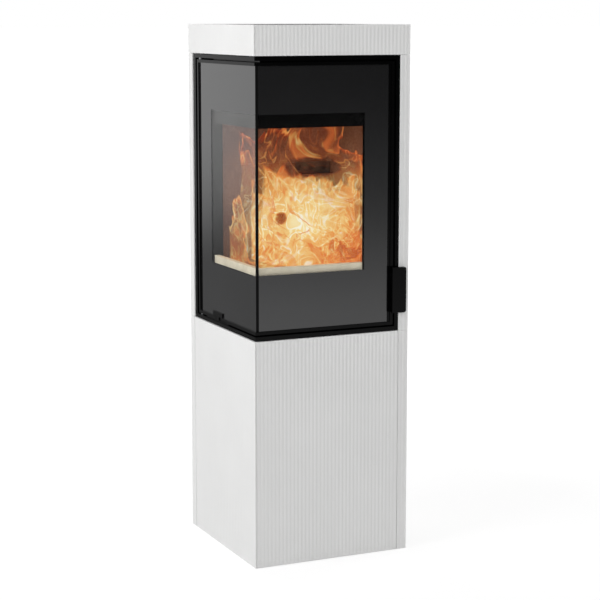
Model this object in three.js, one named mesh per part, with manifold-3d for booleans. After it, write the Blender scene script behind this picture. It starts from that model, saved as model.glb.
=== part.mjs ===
// A tall corner-window wood stove: a steel insert with an L-shaped glass door, standing in a
// surround of four fluted cast elements. Millimetres, +Z up.
// Shapes are modelled from the front left corner of the footprint: x runs right from the left
// face, y runs back from the front face and z rises from the floor.

import * as THREE from 'three';
import { mergeVertices } from 'three/addons/utils/BufferGeometryUtils.js';
import Module from 'manifold-3d';

// ---------------------------------------------------------------- driving dimensions

// Surround
const width = 480;
const depth = 495;
const height = 1525;
const baseHeight = 653;
const topHeight = 84;
const panelWall = 30;
const castJoint = 0.6;
const flutePitch = 11.7;
const fluteWidth = 7.6;
const fluteDepth = 1.6;
const serviceNotchWidth = 140;
const serviceNotchHeight = 140;
const bracketLeg = 40;
const bracketHeight = 50;
const bracketSheet = 3;
const bracketLow = 130;

// Top plate
const topPlateSheet = 5;
const topPlateSink = 1;
const topPlateLedge = 8;
const topPlateClearance = 1;
const topPlateSlotWidth = 8;
const topPlateSlotLength = 90;
const topPlateSlotPitch = 18;
const topPlateSlotOffset = 54;
const topPlateSlotCount = 4;

// Strip under the top element
const carrierInset = 7;
const carrierWidth = 40;

// Fits, and how far a cutting tool reaches past what it cuts
const seat = 0.3;
const over = 1;
const frameSideGap = 1.5;
const frameRearGap = 4;
const frameLevelGap = 2;

// Insert frame, the black flange round the door
const frameRecess = 3;
const frameSheet = 3;
const flangeSide = 11;
const flangeRear = 16;
const flangeLevel = 11;
const revealDepth = 27;

// Door
const doorSideGap = 5.5;
const doorRearGap = 13;
const doorLevelGap = 5;
const doorDepth = 19;
const doorStile = 16.5;
const doorRail = 9;
const lipSheet = 3.7;
const glassBite = 6;
const railBite = 3;
const glassRecess = 4;
const glassSheet = 4;
const cornerSealWidth = 4;
const sealWidth = 8;
const sealInset = 9;
const glassStripStart = 30;
const glassStripEnd = 15;
const glassStripClearance = 1;
const stripReach = 14;
const stripSheet = 1.5;

// Clear window in the printed glass, measured in from the right and rear faces, up from the
// base and down from the top element. It sets the firebox mouth behind it.
const windowFromRight = 139;
const windowFromRear = 161;
const windowFromBase = 183;
const windowFromTop = 160;
const mouthMargin = 6;
const mouthRearStep = 28;

// Firebox
const shellSheet = 3;
const shellSkirt = 8;
const chamberSideStep = 55;
const chamberRearStep = 9;
const backLiningGap = 4.7;
const sideLiningWall = 20;
const backLiningWall = 25;
const airSpaceRear = 26;
const hearthStep = 2;
const floorLiningWall = 30;
const plenumHeight = 124;
const roofDrop = 16;
const liningSeam = 0.6;
const liningRise = 7;
const airSlotHeight = 37;
const airSlotWidth = 126;
const airSlotShare = 0.5445;
const fingerHoleRadius = 13;
const fingerHoleShare = 0.2645;
const baffleWall = 22;
const baffleClearance = 2;
const baffleSpacing = 62;
const baffleRail = 12;
const throat = 55;

// Grate and ash pan
const grateWidth = 190;
const grateDepth = 170;
const gratePlate = 14;
const grateRim = 10;
const grateSlot = 9;
const grateSlotInset = 15;
const grateSlotCount = 8;
const grateClearance = 2;
const panWall = 2;
const panHeight = 78;
const panClearance = 8;

// Log retainers and air bars
const retainerHeight = 20;
const barClearance = 0.7;
const retainerRightStep = 2;
const retainerRearStep = 4;
const washBarHeight = 38;
const washBarSheet = 3;
const washBarRearStep = 14;
const airBarHeight = 62;
const airBarDepth = 22;
const airBarWall = 2;
const airBarOverlap = 12;
const airBarHoleRadius = 9;
const airBarHoleCount = 3;

// Flue and combustion air
const flueRadius = 75;
const flueWall = 3;
const flueFlange = 20;
const flueFlangeSheet = 4;
const flueTopClearance = 10;
const airRadius = 50;
const airWall = 2;
const airFlange = 15;
const airFlangeSheet = 3;
const airDrop = 55;
const coverRadius = 85;
const coverSheet = 3;
const coverDrop = 10;

// Stand
const legWidth = 35;
const legInset = 45;
const legEndInset = 15;
const standRail = 20;
const footRadius = 22;
const footPad = 8;
const footHeight = 30;
const footStemRadius = 6;

// Heat shields
const shieldSheet = 1.5;
const shieldStandoffRear = 60;
const shieldStandoffSide = 21;
const shieldMargin = 40;
const sideShieldSetback = 80;

// Hinge, handle, air slide and catch
const hingeInset = 10;
const hingeSetback = 6;
const hingeRadius = 3;
const hingeClearance = 0.5;
const hingeCollarRadius = 5.5;
const hingeEngagement = 20;
const hingePinShort = 1;
const handleHeight = 132;
const handleWidth = 44;
const handleThickness = 8;
const handleStandoff = 7;
const handleRise = 54;
const handleCorner = 6.5;
const handleOverlap = 8.6;
const handleFoot = 16;
const gripLength = 72;
const gripHeight = 14;
const gripSheet = 3;
const gripRearStep = 12;
const gripInset = 0.4;
const slideTravel = 60;
const slideLength = 170;
const slideSheet = 3;
const slideInset = 2;
const slideTongue = 20;
const tongueSkin = 0.7;
const tongueClearance = 0.4;
const airPortLength = 40;
const airPortPitch = 52;
const airPortWidth = 8;
const catchRise = 119;
const rollerRadius = 5;
const rollerHeight = 14;
const rollerPinRadius = 2;
const rollerClearance = 0.4;
const rollerPinProud = 2;
const rollerLead = 4;
const catchSheet = 3;
const strikeSheet = 3;
const strikeHeight = 12;
const strikeReach = 24;
const strikeInset = 7.8;
const strikeClearance = 1;

// ---------------------------------------------------------------- sizes that follow

const frameOuterX = width - panelWall - frameSideGap;
const frameOuterY = depth - panelWall - frameRearGap;
const frameInnerX = frameOuterX - flangeSide;
const frameInnerY = frameOuterY - flangeRear;
const frameLow = baseHeight + frameLevelGap;
const frameHigh = height - topHeight - frameLevelGap;
const openingLow = frameLow + flangeLevel;
const openingHigh = frameHigh - flangeLevel;
const revealRear = frameRecess + revealDepth;

const doorX = frameInnerX - doorSideGap;
const doorY = frameInnerY - doorRearGap;
const doorLow = openingLow + doorLevelGap;
const doorHigh = openingHigh - doorLevelGap;
const doorInner = frameRecess + doorDepth;
const glassFace = frameRecess + glassRecess;
const glassBack = glassFace + glassSheet;
const glassX = doorX - doorStile + glassBite;
const glassY = doorY - doorStile + glassBite;
const glassLow = doorLow + doorRail - railBite;
const glassHigh = doorHigh - doorRail + railBite;

const windowRight = width - windowFromRight;
const windowRear = depth - windowFromRear;
const windowLow = baseHeight + windowFromBase;
const windowHigh = height - topHeight - windowFromTop;
const mouthRight = windowRight + mouthMargin;
const mouthRear = windowRear - mouthRearStep;
const mouthLow = windowLow - mouthMargin;
const mouthHigh = windowHigh + mouthMargin;

const shellFace = revealRear + seat;
const shellInner = shellFace + shellSheet;
const boxFace = shellInner + seat;
const chamberLeft = shellInner + backLiningGap;
const chamberRight = windowRight + chamberSideStep;
const chamberRear = windowRear - chamberRearStep;
const hearthLevel = windowLow + hearthStep;
const liningTop = windowHigh + liningRise;
const airSlotLow = hearthLevel + airSlotShare * (liningTop - hearthLevel);
const airSlotHigh = airSlotLow + airSlotHeight;
const fingerHoleLevel = hearthLevel + fingerHoleShare * (liningTop - hearthLevel);
const upperBaffleLevel = liningTop + baffleSpacing;
const sealEdge = glassBack + seat;
const barFace = sealEdge + cornerSealWidth + barClearance;
const shellRight = chamberRight + sideLiningWall + seat;
const shellRear = chamberRear + backLiningWall + airSpaceRear;
const steelFloor = hearthLevel - floorLiningWall - seat;
const plenumLow = steelFloor - shellSheet - plenumHeight;
const roofLevel = openingHigh - roofDrop;
const skirtTop = frameHigh - shellSheet;

const flueX = (shellInner + shellRight) / 2;
const flueY = (shellInner + shellRear) / 2;
const grateX = (shellInner + chamberRight) / 2;
const grateY = (shellInner + chamberRear) / 2;
const hingeX = frameRecess + hingeInset;
const hingeY = doorY - hingeSetback;
const catchLevel = baseHeight + catchRise;

const ROUND = 24;
const SMALL_ROUND = 12;
const WELD = 1e-4;

// ---------------------------------------------------------------- materials

function paint(color, roughness, metalness) {
  return new THREE.MeshStandardMaterial({ color, roughness, metalness });
}

const castWhite = paint(0xe9e9e7, 0.85, 0);
const blackSteel = paint(0x161617, 0.45, 0.5);
const darkSteel = paint(0x2b2c2e, 0.55, 0.6);
const zincSteel = paint(0x9a9c9e, 0.4, 0.8);
const castIron = paint(0x222120, 0.75, 0.5);
const vermiculite = paint(0xa08a6c, 0.95, 0);
const paleCeramic = paint(0xc9bfa8, 0.9, 0);
const sealRope = paint(0x1c1b1a, 1, 0);
const smokedGlass = paint(0x3a3a3c, 0.08, 0);
smokedGlass.transparent = true;
smokedGlass.opacity = 0.45;

// ---------------------------------------------------------------- solid tools

const wasm = await Module();
wasm.setup();

function toSolid(geometry) {
  const bare = geometry.index ? geometry.toNonIndexed() : geometry.clone();
  bare.deleteAttribute('normal');
  bare.deleteAttribute('uv');
  const welded = mergeVertices(bare, WELD);
  return new wasm.Manifold(new wasm.Mesh({
    numProp: 3,
    vertProperties: new Float32Array(welded.attributes.position.array),
    triVerts: new Uint32Array(welded.index.array),
  }));
}

function toGeometry(solid) {
  const mesh = solid.getMesh();
  const geometry = new THREE.BufferGeometry();
  const positions = new Float32Array(mesh.vertProperties);
  geometry.setAttribute('position', new THREE.BufferAttribute(positions, 3));
  geometry.setIndex(new THREE.BufferAttribute(new Uint32Array(mesh.triVerts), 1));
  geometry.computeVertexNormals();
  return geometry;
}

function join(...geometries) {
  return toGeometry(geometries.map(toSolid).reduce((sum, next) => sum.add(next)));
}

function cut(geometry, ...tools) {
  const solid = toSolid(geometry);
  return toGeometry(tools.map(toSolid).reduce((rest, tool) => rest.subtract(tool), solid));
}

// A box between two corners, given as x, y and z spans.
function box([x0, x1], [y0, y1], [z0, z1]) {
  const geometry = new THREE.BoxGeometry(x1 - x0, y1 - y0, z1 - z0);
  return geometry.translate((x0 + x1) / 2, (y0 + y1) / 2, (z0 + z1) / 2);
}

// A plan outline, given as [x, y] points, raised from z0 to z1.
function raise(outline, [z0, z1]) {
  const shape = new THREE.Shape(outline.map(([x, y]) => new THREE.Vector2(x, y)));
  const geometry = new THREE.ExtrudeGeometry(shape, { depth: z1 - z0, bevelEnabled: false });
  return geometry.translate(0, 0, z0);
}

// An upright cylinder on a plan centre.
function post([x, y], radius, [z0, z1], sides = ROUND) {
  const geometry = new THREE.CylinderGeometry(radius, radius, z1 - z0, sides);
  return geometry.rotateX(Math.PI / 2).translate(x, y, (z0 + z1) / 2);
}

// A cylinder lying along y.
function rod([x, z], radius, [y0, y1], sides = ROUND) {
  const geometry = new THREE.CylinderGeometry(radius, radius, y1 - y0, sides);
  return geometry.translate(x, (y0 + y1) / 2, z);
}

// A round piece turned about an upright axis from [radius, z] points.
function turn([x, y], profile, sides = ROUND) {
  const points = profile.map(([radius, z]) => new THREE.Vector2(radius, z));
  const geometry = new THREE.LatheGeometry(points, sides);
  return geometry.rotateX(Math.PI / 2).translate(x, y, 0);
}

// A strip that follows the front and left faces round the open corner: its outer faces lie
// `inset` behind both, its legs end at endX and endY.
function cornerStrip(inset, strip, endX, endY, levels) {
  const inner = inset + strip;
  const outline = [
    [inset, inset], [endX, inset], [endX, inner],
    [inner, inner], [inner, endY], [inset, endY],
  ];
  return raise(outline, levels);
}

const stove = new THREE.Group();

function addPart(name, geometry, material) {
  const mesh = new THREE.Mesh(geometry, material);
  mesh.name = name;
  stove.add(mesh);
}

// ---------------------------------------------------------------- surround

// Points along one face of length `face` with V flutes on the face's own grid, kept to the
// stretch from `from` to `to`. Each point is [distance along the face, depth into it].
function fluteRun(face, from, to) {
  const count = Math.round(face / flutePitch);
  const pitch = face / count;
  const points = [[from, 0]];
  for (let i = 0; i < count; i += 1) {
    const middle = (i + 0.5) * pitch;
    const start = middle - fluteWidth / 2;
    const end = middle + fluteWidth / 2;
    if (start > from + fluteDepth && end < to - fluteDepth) {
      points.push([start, 0], [middle, fluteDepth], [end, 0]);
    }
  }
  points.push([to, 0]);
  return points;
}

function frontRun(from, to) {
  return fluteRun(width, from, to);
}

function rightRun(from, to) {
  return fluteRun(depth, from, to).map(([along, into]) => [width - into, along]);
}

function leftRun(from, to) {
  return fluteRun(depth, from, to).map(([along, into]) => [into, along]).reverse();
}

const innerRight = width - panelWall;
const innerRear = depth - panelWall;

// The front and left legs of a cast corner.
function frontLeftOutline() {
  return [
    ...frontRun(0, innerRight - castJoint),
    [innerRight - castJoint, panelWall],
    [panelWall, panelWall],
    [panelWall, innerRear - castJoint],
    ...leftRun(0, innerRear - castJoint).slice(0, -1),
  ];
}

// The right and rear legs of a cast corner.
function rearRightOutline() {
  return [
    ...frontRun(innerRight, width).slice(0, -1),
    ...rightRun(0, depth),
    [0, depth],
    [0, innerRear],
    [innerRight, innerRear],
  ];
}

const serviceNotch = box(
  [(width - serviceNotchWidth) / 2, (width + serviceNotchWidth) / 2],
  [innerRear - over, depth + over],
  [-over, serviceNotchHeight],
);
const baseLevels = [0, baseHeight - castJoint];
addPart('base_panel_front_left', raise(frontLeftOutline(), baseLevels), castWhite);
addPart('base_panel_rear_right', cut(raise(rearRightOutline(), baseLevels), serviceNotch), castWhite);

const topLow = height - topHeight;
addPart('mid_panel_rear_right', raise(rearRightOutline(), [baseHeight, topLow - castJoint]), castWhite);

const topPlateLevel = height - topPlateSink - topPlateSheet;
const ledge = panelWall - topPlateLedge;
function topSurround() {
  const outline = [
    ...frontRun(0, width).slice(0, -1),
    ...rightRun(0, depth),
    [0, depth],
    ...leftRun(0, depth).slice(1, -1),
  ];
  const well = box([panelWall, innerRight], [panelWall, innerRear], [topLow - over, height + over]);
  const rebateLevels = [topPlateLevel - seat, height + over];
  const rebate = box([ledge, width - ledge], [ledge, depth - ledge], rebateLevels);
  return cut(raise(outline, [topLow, height]), well, rebate);
}
addPart('top_surround', topSurround(), castWhite);

// Two rows of slots let the warm air out on each side of the flue.
function topPlate() {
  const edge = ledge + topPlateClearance;
  const plate = box(
    [edge, width - edge],
    [edge, depth - edge],
    [topPlateLevel, topPlateLevel + topPlateSheet],
  );
  const through = [topPlateLevel - over, topPlateLevel + topPlateSheet + over];
  const flueHole = post([flueX, flueY], flueRadius + flueTopClearance, through);
  const slots = [];
  for (const side of [-1, 1]) {
    for (const end of [-1, 1]) {
      for (let i = 0; i < topPlateSlotCount; i += 1) {
        const x = flueX + side * (flueRadius + flueTopClearance + topPlateSlotPitch * (i + 1));
        const y = flueY + end * topPlateSlotOffset;
        slots.push(box(
          [x - topPlateSlotWidth / 2, x + topPlateSlotWidth / 2],
          [y - topPlateSlotLength / 2, y + topPlateSlotLength / 2],
          through,
        ));
      }
    }
  }
  return cut(plate, flueHole, ...slots);
}
addPart('top_plate', topPlate(), darkSteel);

// An angle bracket in the inner corner at [x, y], its legs running towards signX and signY.
function angleBracket([x, y], signX, signY, level) {
  const outline = [
    [0, 0], [bracketLeg, 0], [bracketLeg, bracketSheet],
    [bracketSheet, bracketSheet], [bracketSheet, bracketLeg], [0, bracketLeg],
  ].map(([along, across]) => [x + signX * along, y + signY * across]);
  return raise(outline, [level, level + bracketHeight]);
}

// Brackets tie the two base panels at both of their joints, low and high, and tie each cast
// level to the next in the rear right corner.
const bracketHigh = baseHeight - bracketHeight - bracketLow;
for (const [name, level] of [['low', bracketLow], ['high', bracketHigh]]) {
  const front = angleBracket([innerRight - seat, panelWall + seat], -1, 1, level);
  const rear = angleBracket([panelWall + seat, innerRear - seat], 1, -1, level);
  addPart(`corner_bracket_front_${name}`, front, zincSteel);
  addPart(`corner_bracket_rear_${name}`, rear, zincSteel);
}
for (const [name, level] of [['base', baseHeight], ['top', topLow]]) {
  const bracket = angleBracket([innerRight - seat, innerRear - seat], -1, -1, level - bracketHeight / 2);
  addPart(`level_bracket_${name}`, bracket, zincSteel);
}

// ---------------------------------------------------------------- stand

const legHalf = legWidth / 2;
const legSpanX = [legInset, shellRight - legEndInset];
const legSpanY = [legInset, shellRear - legEndInset];
const standTop = plenumLow - seat;
const legCentres = legSpanX.flatMap((x) => legSpanY.map((y) => [x + legHalf, y + legHalf]));

function standFrame() {
  const legs = legCentres.map(([x, y]) => box(
    [x - legHalf, x + legHalf],
    [y - legHalf, y + legHalf],
    [footHeight, standTop],
  ));
  const ring = [standTop - standRail, standTop];
  const outer = [legSpanX[0], legSpanX[1] + legWidth, legSpanY[0], legSpanY[1] + legWidth];
  const rails = [
    box([outer[0], outer[1]], [outer[2], outer[2] + legWidth], ring),
    box([outer[0], outer[1]], [outer[3] - legWidth, outer[3]], ring),
    box([outer[0], outer[0] + legWidth], [outer[2], outer[3]], ring),
    box([outer[1] - legWidth, outer[1]], [outer[2], outer[3]], ring),
  ];
  return join(...legs, ...rails);
}
addPart('stand_frame', standFrame(), darkSteel);

const footProfile = [
  [0, 0], [footRadius, 0], [footRadius, footPad],
  [footStemRadius, footPad], [footStemRadius, footHeight - seat], [0, footHeight - seat],
];
legCentres.forEach((centre, i) => {
  addPart(`levelling_foot_${i + 1}`, turn(centre, footProfile, SMALL_ROUND), zincSteel);
});

// ---------------------------------------------------------------- firebox

// The steel box has no left and front walls: the folded face plate closes it there.
function fireboxShell() {
  const walls = [plenumLow, roofLevel + shellSheet];
  const spanX = [boxFace, shellRight + shellSheet];
  const spanY = [boxFace, shellRear + shellSheet];
  const right = box([shellRight, shellRight + shellSheet], spanY, walls);
  const rear = box(spanX, [shellRear, shellRear + shellSheet], walls);
  const bottom = box(spanX, spanY, [plenumLow, plenumLow + shellSheet]);
  const floor = box(spanX, spanY, [steelFloor - shellSheet, steelFloor]);
  const roof = box(spanX, spanY, [roofLevel, roofLevel + shellSheet]);
  const flueLevels = [roofLevel - over, roofLevel + shellSheet + over];
  const flueHole = post([flueX, flueY], flueRadius, flueLevels);
  const airLevels = [plenumLow - over, plenumLow + shellSheet + over];
  const airHole = post([flueX, flueY], airRadius - airWall, airLevels);
  const grateHole = box(
    [grateX - grateWidth / 2 + grateRim, grateX + grateWidth / 2 - grateRim],
    [grateY - grateDepth / 2 + grateRim, grateY + grateDepth / 2 - grateRim],
    [steelFloor - shellSheet - over, steelFloor + over],
  );
  return cut(join(right, rear, bottom, floor, roof), flueHole, airHole, grateHole);
}
addPart('firebox_shell', fireboxShell(), darkSteel);

// The face plate holds the mouth, the ledge under it and a notch for the catch. The door's
// seal closes against it.
function fireboxFace() {
  const faceX = frameInnerX + shellSkirt;
  const faceY = frameInnerY + shellSkirt;
  const faces = cornerStrip(shellFace, shellSheet, faceX, faceY, [frameLow + shellSheet, skirtTop]);
  const mouthLedge = cornerStrip(
    barFace, shellInner - barFace, mouthRight, windowRear + mouthMargin,
    [mouthLow - shellSheet, mouthLow],
  );
  const mouth = box([0, mouthRight], [0, mouthRear], [mouthLow, mouthHigh]);
  const catchNotch = box(
    [shellRight, faceX + over],
    [shellFace - over, shellInner + over],
    [catchLevel - strikeHeight, catchLevel + strikeHeight],
  );
  return cut(join(faces, mouthLedge), mouth, catchNotch);
}
addPart('firebox_face', fireboxFace(), darkSteel);

// Rails along both sides carry the upper baffle.
const railDepth = [shellInner + throat, shellRear - seat];
const railLevels = [upperBaffleLevel - baffleRail - seat, upperBaffleLevel - seat];
addPart('baffle_rail_left', box([boxFace, boxFace + baffleRail], railDepth, railLevels), darkSteel);
addPart(
  'baffle_rail_right',
  box([shellRight - seat - baffleRail, shellRight - seat], railDepth, railLevels),
  darkSteel,
);

function insertFrame() {
  const lowFlange = [frameLow, openingLow];
  const highFlange = [openingHigh, frameHigh];
  const revealX = frameInnerX + frameSheet;
  const revealY = frameInnerY + frameSheet;
  const sill = [openingLow - frameSheet, openingLow];
  const head = [openingHigh, openingHigh + frameSheet];
  const flange = [frameRecess, frameRecess + frameSheet];
  const reveal = [frameRecess, revealRear];
  const stiles = [frameLow, frameHigh];
  const jambs = [sill[0], head[1]];
  return join(
    cornerStrip(frameRecess, frameSheet, frameOuterX, frameOuterY, lowFlange),
    cornerStrip(frameRecess, frameSheet, frameOuterX, frameOuterY, highFlange),
    cornerStrip(frameRecess, revealDepth, revealX, revealY, sill),
    cornerStrip(frameRecess, revealDepth, revealX, revealY, head),
    box([frameInnerX, frameOuterX], flange, stiles),
    box([frameInnerX, revealX], reveal, jambs),
    box(flange, [frameInnerY, frameOuterY], stiles),
    box(reveal, [frameInnerY, revealY], jambs),
  );
}
addPart('insert_frame', insertFrame(), blackSteel);

// A steel strip on the firebox carries the front left corner of the top element over the door.
addPart(
  'top_carrier',
  cornerStrip(
    frameRecess + carrierInset, carrierWidth, frameInnerX, frameInnerY,
    [skirtTop + seat, topLow - seat],
  ),
  darkSteel,
);

// The lower back wall is two slabs that share a finger hole on their seam. The right one is cut
// down at its top, which leaves an air slot under the upper slab.
const backSpan = [chamberRear, chamberRear + backLiningWall];
const seamX = (frameRecess + frameOuterX) / 2;
const fingerHole = rod(
  [seamX, fingerHoleLevel],
  fingerHoleRadius,
  [chamberRear - over, backSpan[1] + over],
  SMALL_ROUND,
);
const airSlotLeft = chamberRight - airSlotWidth;
const airSlot = box(
  [airSlotLeft, chamberRight + over],
  [chamberRear - over, backSpan[1] + over],
  [airSlotLow, airSlotHigh],
);
const lowerBack = [hearthLevel, airSlotHigh - liningSeam];
const leftSlab = box([chamberLeft, seamX - liningSeam / 2], backSpan, lowerBack);
const rightSlab = box([seamX + liningSeam / 2, chamberRight], backSpan, lowerBack);
const upperSlab = box([chamberLeft, chamberRight], backSpan, [airSlotHigh, liningTop]);
addPart('back_lining_left', cut(leftSlab, fingerHole), vermiculite);
addPart('back_lining_right', cut(rightSlab, fingerHole, airSlot), vermiculite);
addPart('back_lining_upper', upperSlab, vermiculite);
addPart(
  'side_lining',
  box(
    [chamberRight + seat, shellRight - seat],
    [boxFace, backSpan[1]],
    [hearthLevel, liningTop],
  ),
  vermiculite,
);

// Four bricks make the hearth round the grate.
const brickSpan = [steelFloor + seat, hearthLevel - seat];
const hearthX = [boxFace, shellRight - seat];
const hearthY = [boxFace, backSpan[1]];
const grateSpanX = [grateX - grateWidth / 2 - grateClearance, grateX + grateWidth / 2 + grateClearance];
const grateSpanY = [grateY - grateDepth / 2 - grateClearance, grateY + grateDepth / 2 + grateClearance];
addPart('floor_lining_front', box(hearthX, [hearthY[0], grateSpanY[0] - liningSeam], brickSpan), vermiculite);
addPart('floor_lining_rear', box(hearthX, [grateSpanY[1] + liningSeam, hearthY[1]], brickSpan), vermiculite);
addPart('floor_lining_left', box([hearthX[0], grateSpanX[0]], grateSpanY, brickSpan), vermiculite);
addPart('floor_lining_right', box([grateSpanX[1], hearthX[1]], grateSpanY, brickSpan), vermiculite);

// A slotted cast plate on a rim that stands on the steel floor.
function grate() {
  const spanX = [grateX - grateWidth / 2, grateX + grateWidth / 2];
  const spanY = [grateY - grateDepth / 2, grateY + grateDepth / 2];
  const levels = [steelFloor + seat, hearthLevel - seat];
  const under = box(
    [spanX[0] + grateRim, spanX[1] - grateRim],
    [spanY[0] + grateRim, spanY[1] - grateRim],
    [levels[0] - over, levels[1] - gratePlate],
  );
  const slots = [];
  const pitch = (grateWidth - 2 * grateRim) / grateSlotCount;
  for (let i = 0; i < grateSlotCount; i += 1) {
    const x = spanX[0] + grateRim + pitch * (i + 0.5);
    slots.push(box(
      [x - grateSlot / 2, x + grateSlot / 2],
      [spanY[0] + grateSlotInset, spanY[1] - grateSlotInset],
      [levels[0], levels[1] + over],
    ));
  }
  return cut(box(spanX, spanY, levels), under, ...slots);
}
addPart('grate', grate(), castIron);

function ashPan() {
  const halfX = grateWidth / 2 - grateRim - panClearance;
  const halfY = grateDepth / 2 - grateRim - panClearance;
  const low = plenumLow + shellSheet + seat;
  const outer = box(
    [grateX - halfX, grateX + halfX],
    [grateY - halfY, grateY + halfY],
    [low, low + panHeight],
  );
  const inner = box(
    [grateX - halfX + panWall, grateX + halfX - panWall],
    [grateY - halfY + panWall, grateY + halfY - panWall],
    [low + panWall, low + panHeight + over],
  );
  return cut(outer, inner);
}
addPart('ash_pan', ashPan(), zincSteel);

// Two pale bars on the ledge inside the glass keep the logs off it.
const retainerLevels = [mouthLow + seat, windowLow + retainerHeight];
const retainerInner = shellFace - seat;
const retainerRight = windowRight - retainerRightStep;
const retainerRear = windowRear - retainerRearStep;
addPart(
  'log_retainer_front',
  box([barFace, retainerRight], [barFace, retainerInner], retainerLevels),
  paleCeramic,
);
addPart(
  'log_retainer_side',
  box([barFace, retainerInner], [retainerInner + seat, retainerRear], retainerLevels),
  paleCeramic,
);

// The air wash bar hangs inside the top of the window and blows air down both panes.
const washLow = windowHigh - washBarHeight;
const washHigh = mouthHigh + washBarSheet;
const washBarRear = windowRear - washBarRearStep;
function airWashBar() {
  const reach = shellFace - seat - barFace;
  return join(
    cornerStrip(barFace, washBarSheet, mouthRight, washBarRear, [washLow, washHigh + washBarSheet]),
    cornerStrip(barFace, reach, mouthRight, washBarRear, [washHigh, washHigh + washBarSheet]),
  );
}
addPart('air_wash_bar', airWashBar(), darkSteel);

// A box channel behind the slot in the back wall, with a row of round air holes.
function rearAirBar() {
  const middle = (airSlotLow + airSlotHigh) / 2;
  const levels = [middle - airBarHeight / 2, middle + airBarHeight / 2];
  const front = backSpan[1] + seat;
  const rear = front + airBarDepth;
  const spanX = [airSlotLeft - airBarOverlap, chamberRight];
  const hollow = box(
    [spanX[0] + airBarWall, spanX[1] - airBarWall],
    [front + airBarWall, rear - airBarWall],
    [levels[0] + airBarWall, levels[1] - airBarWall],
  );
  const pitch = airSlotWidth / airBarHoleCount;
  const holes = [];
  for (let i = 0; i < airBarHoleCount; i += 1) {
    const x = airSlotLeft + pitch * (i + 0.5);
    const through = [front - over, front + airBarWall + over];
    holes.push(rod([x, middle], airBarHoleRadius, through, SMALL_ROUND));
  }
  return cut(box(spanX, [front, rear], levels), hollow, ...holes);
}
addPart('rear_air_bar', rearAirBar(), darkSteel);

const baffleX = [shellInner + baffleClearance, shellRight - baffleClearance];
const lowerBaffleLevel = liningTop + seat;
addPart(
  'lower_baffle',
  box(
    baffleX,
    [shellInner + throat, shellRear - baffleClearance],
    [lowerBaffleLevel, lowerBaffleLevel + baffleWall],
  ),
  vermiculite,
);
addPart(
  'upper_baffle',
  box(baffleX, [boxFace, shellRear - throat], [upperBaffleLevel, upperBaffleLevel + baffleWall]),
  vermiculite,
);

// ---------------------------------------------------------------- flue, air inlet and shields

const roofTop = roofLevel + shellSheet + seat;
const flueTop = topPlateLevel + topPlateSheet - flueTopClearance;
const flueProfile = [
  [flueRadius - flueWall, roofTop],
  [flueRadius + flueFlange, roofTop],
  [flueRadius + flueFlange, roofTop + flueFlangeSheet],
  [flueRadius, roofTop + flueFlangeSheet],
  [flueRadius, flueTop],
  [flueRadius - flueWall, flueTop],
  [flueRadius - flueWall, roofTop],
];
addPart('flue_collar', turn([flueX, flueY], flueProfile), darkSteel);

const airProfile = [
  [airRadius - airWall, plenumLow - seat],
  [airRadius - airWall, plenumLow - airDrop],
  [airRadius, plenumLow - airDrop],
  [airRadius, plenumLow - seat - airFlangeSheet],
  [airRadius + airFlange, plenumLow - seat - airFlangeSheet],
  [airRadius + airFlange, plenumLow - seat],
  [airRadius - airWall, plenumLow - seat],
];
addPart('air_inlet_spigot', turn([flueX, flueY], airProfile), zincSteel);

// A blank disc closes the rear flue outlet.
const coverLevel = roofLevel - coverRadius - coverDrop;
const coverFace = shellRear + shellSheet + seat;
addPart(
  'rear_outlet_cover',
  rod([flueX, coverLevel], coverRadius, [coverFace, coverFace + coverSheet]),
  darkSteel,
);

// Folded sheets keep the heat of the rear and right walls off the cast elements.
const shieldLevels = [plenumLow + shieldMargin, roofLevel - shieldMargin];
function rearShield() {
  const near = shellRear + shellSheet + seat;
  const far = near + shieldStandoffRear;
  const [left, right] = [shellInner, shellRight];
  return raise([
    [left, near], [left + shieldSheet, near], [left + shieldSheet, far - shieldSheet],
    [right - shieldSheet, far - shieldSheet], [right - shieldSheet, near], [right, near],
    [right, far], [left, far],
  ], shieldLevels);
}
addPart('heat_shield_rear', rearShield(), zincSteel);

function sideShield() {
  const near = shellRight + shellSheet + seat;
  const far = near + shieldStandoffSide;
  const [front, rear] = [shellInner + sideShieldSetback, shellRear];
  return raise([
    [near, front], [far, front], [far, rear], [near, rear],
    [near, rear - shieldSheet], [far - shieldSheet, rear - shieldSheet],
    [far - shieldSheet, front + shieldSheet], [near, front + shieldSheet],
  ], shieldLevels);
}
addPart('heat_shield_side', sideShield(), zincSteel);

// ---------------------------------------------------------------- door

const gripRear = windowRear - gripRearStep;
const gripFront = gripRear - gripLength;
const gripMiddle = (gripFront + gripRear) / 2;
const lipX = doorX - doorStile;
const lipY = doorY - doorStile;
const hingeHole = hingeRadius + hingeClearance;

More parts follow.
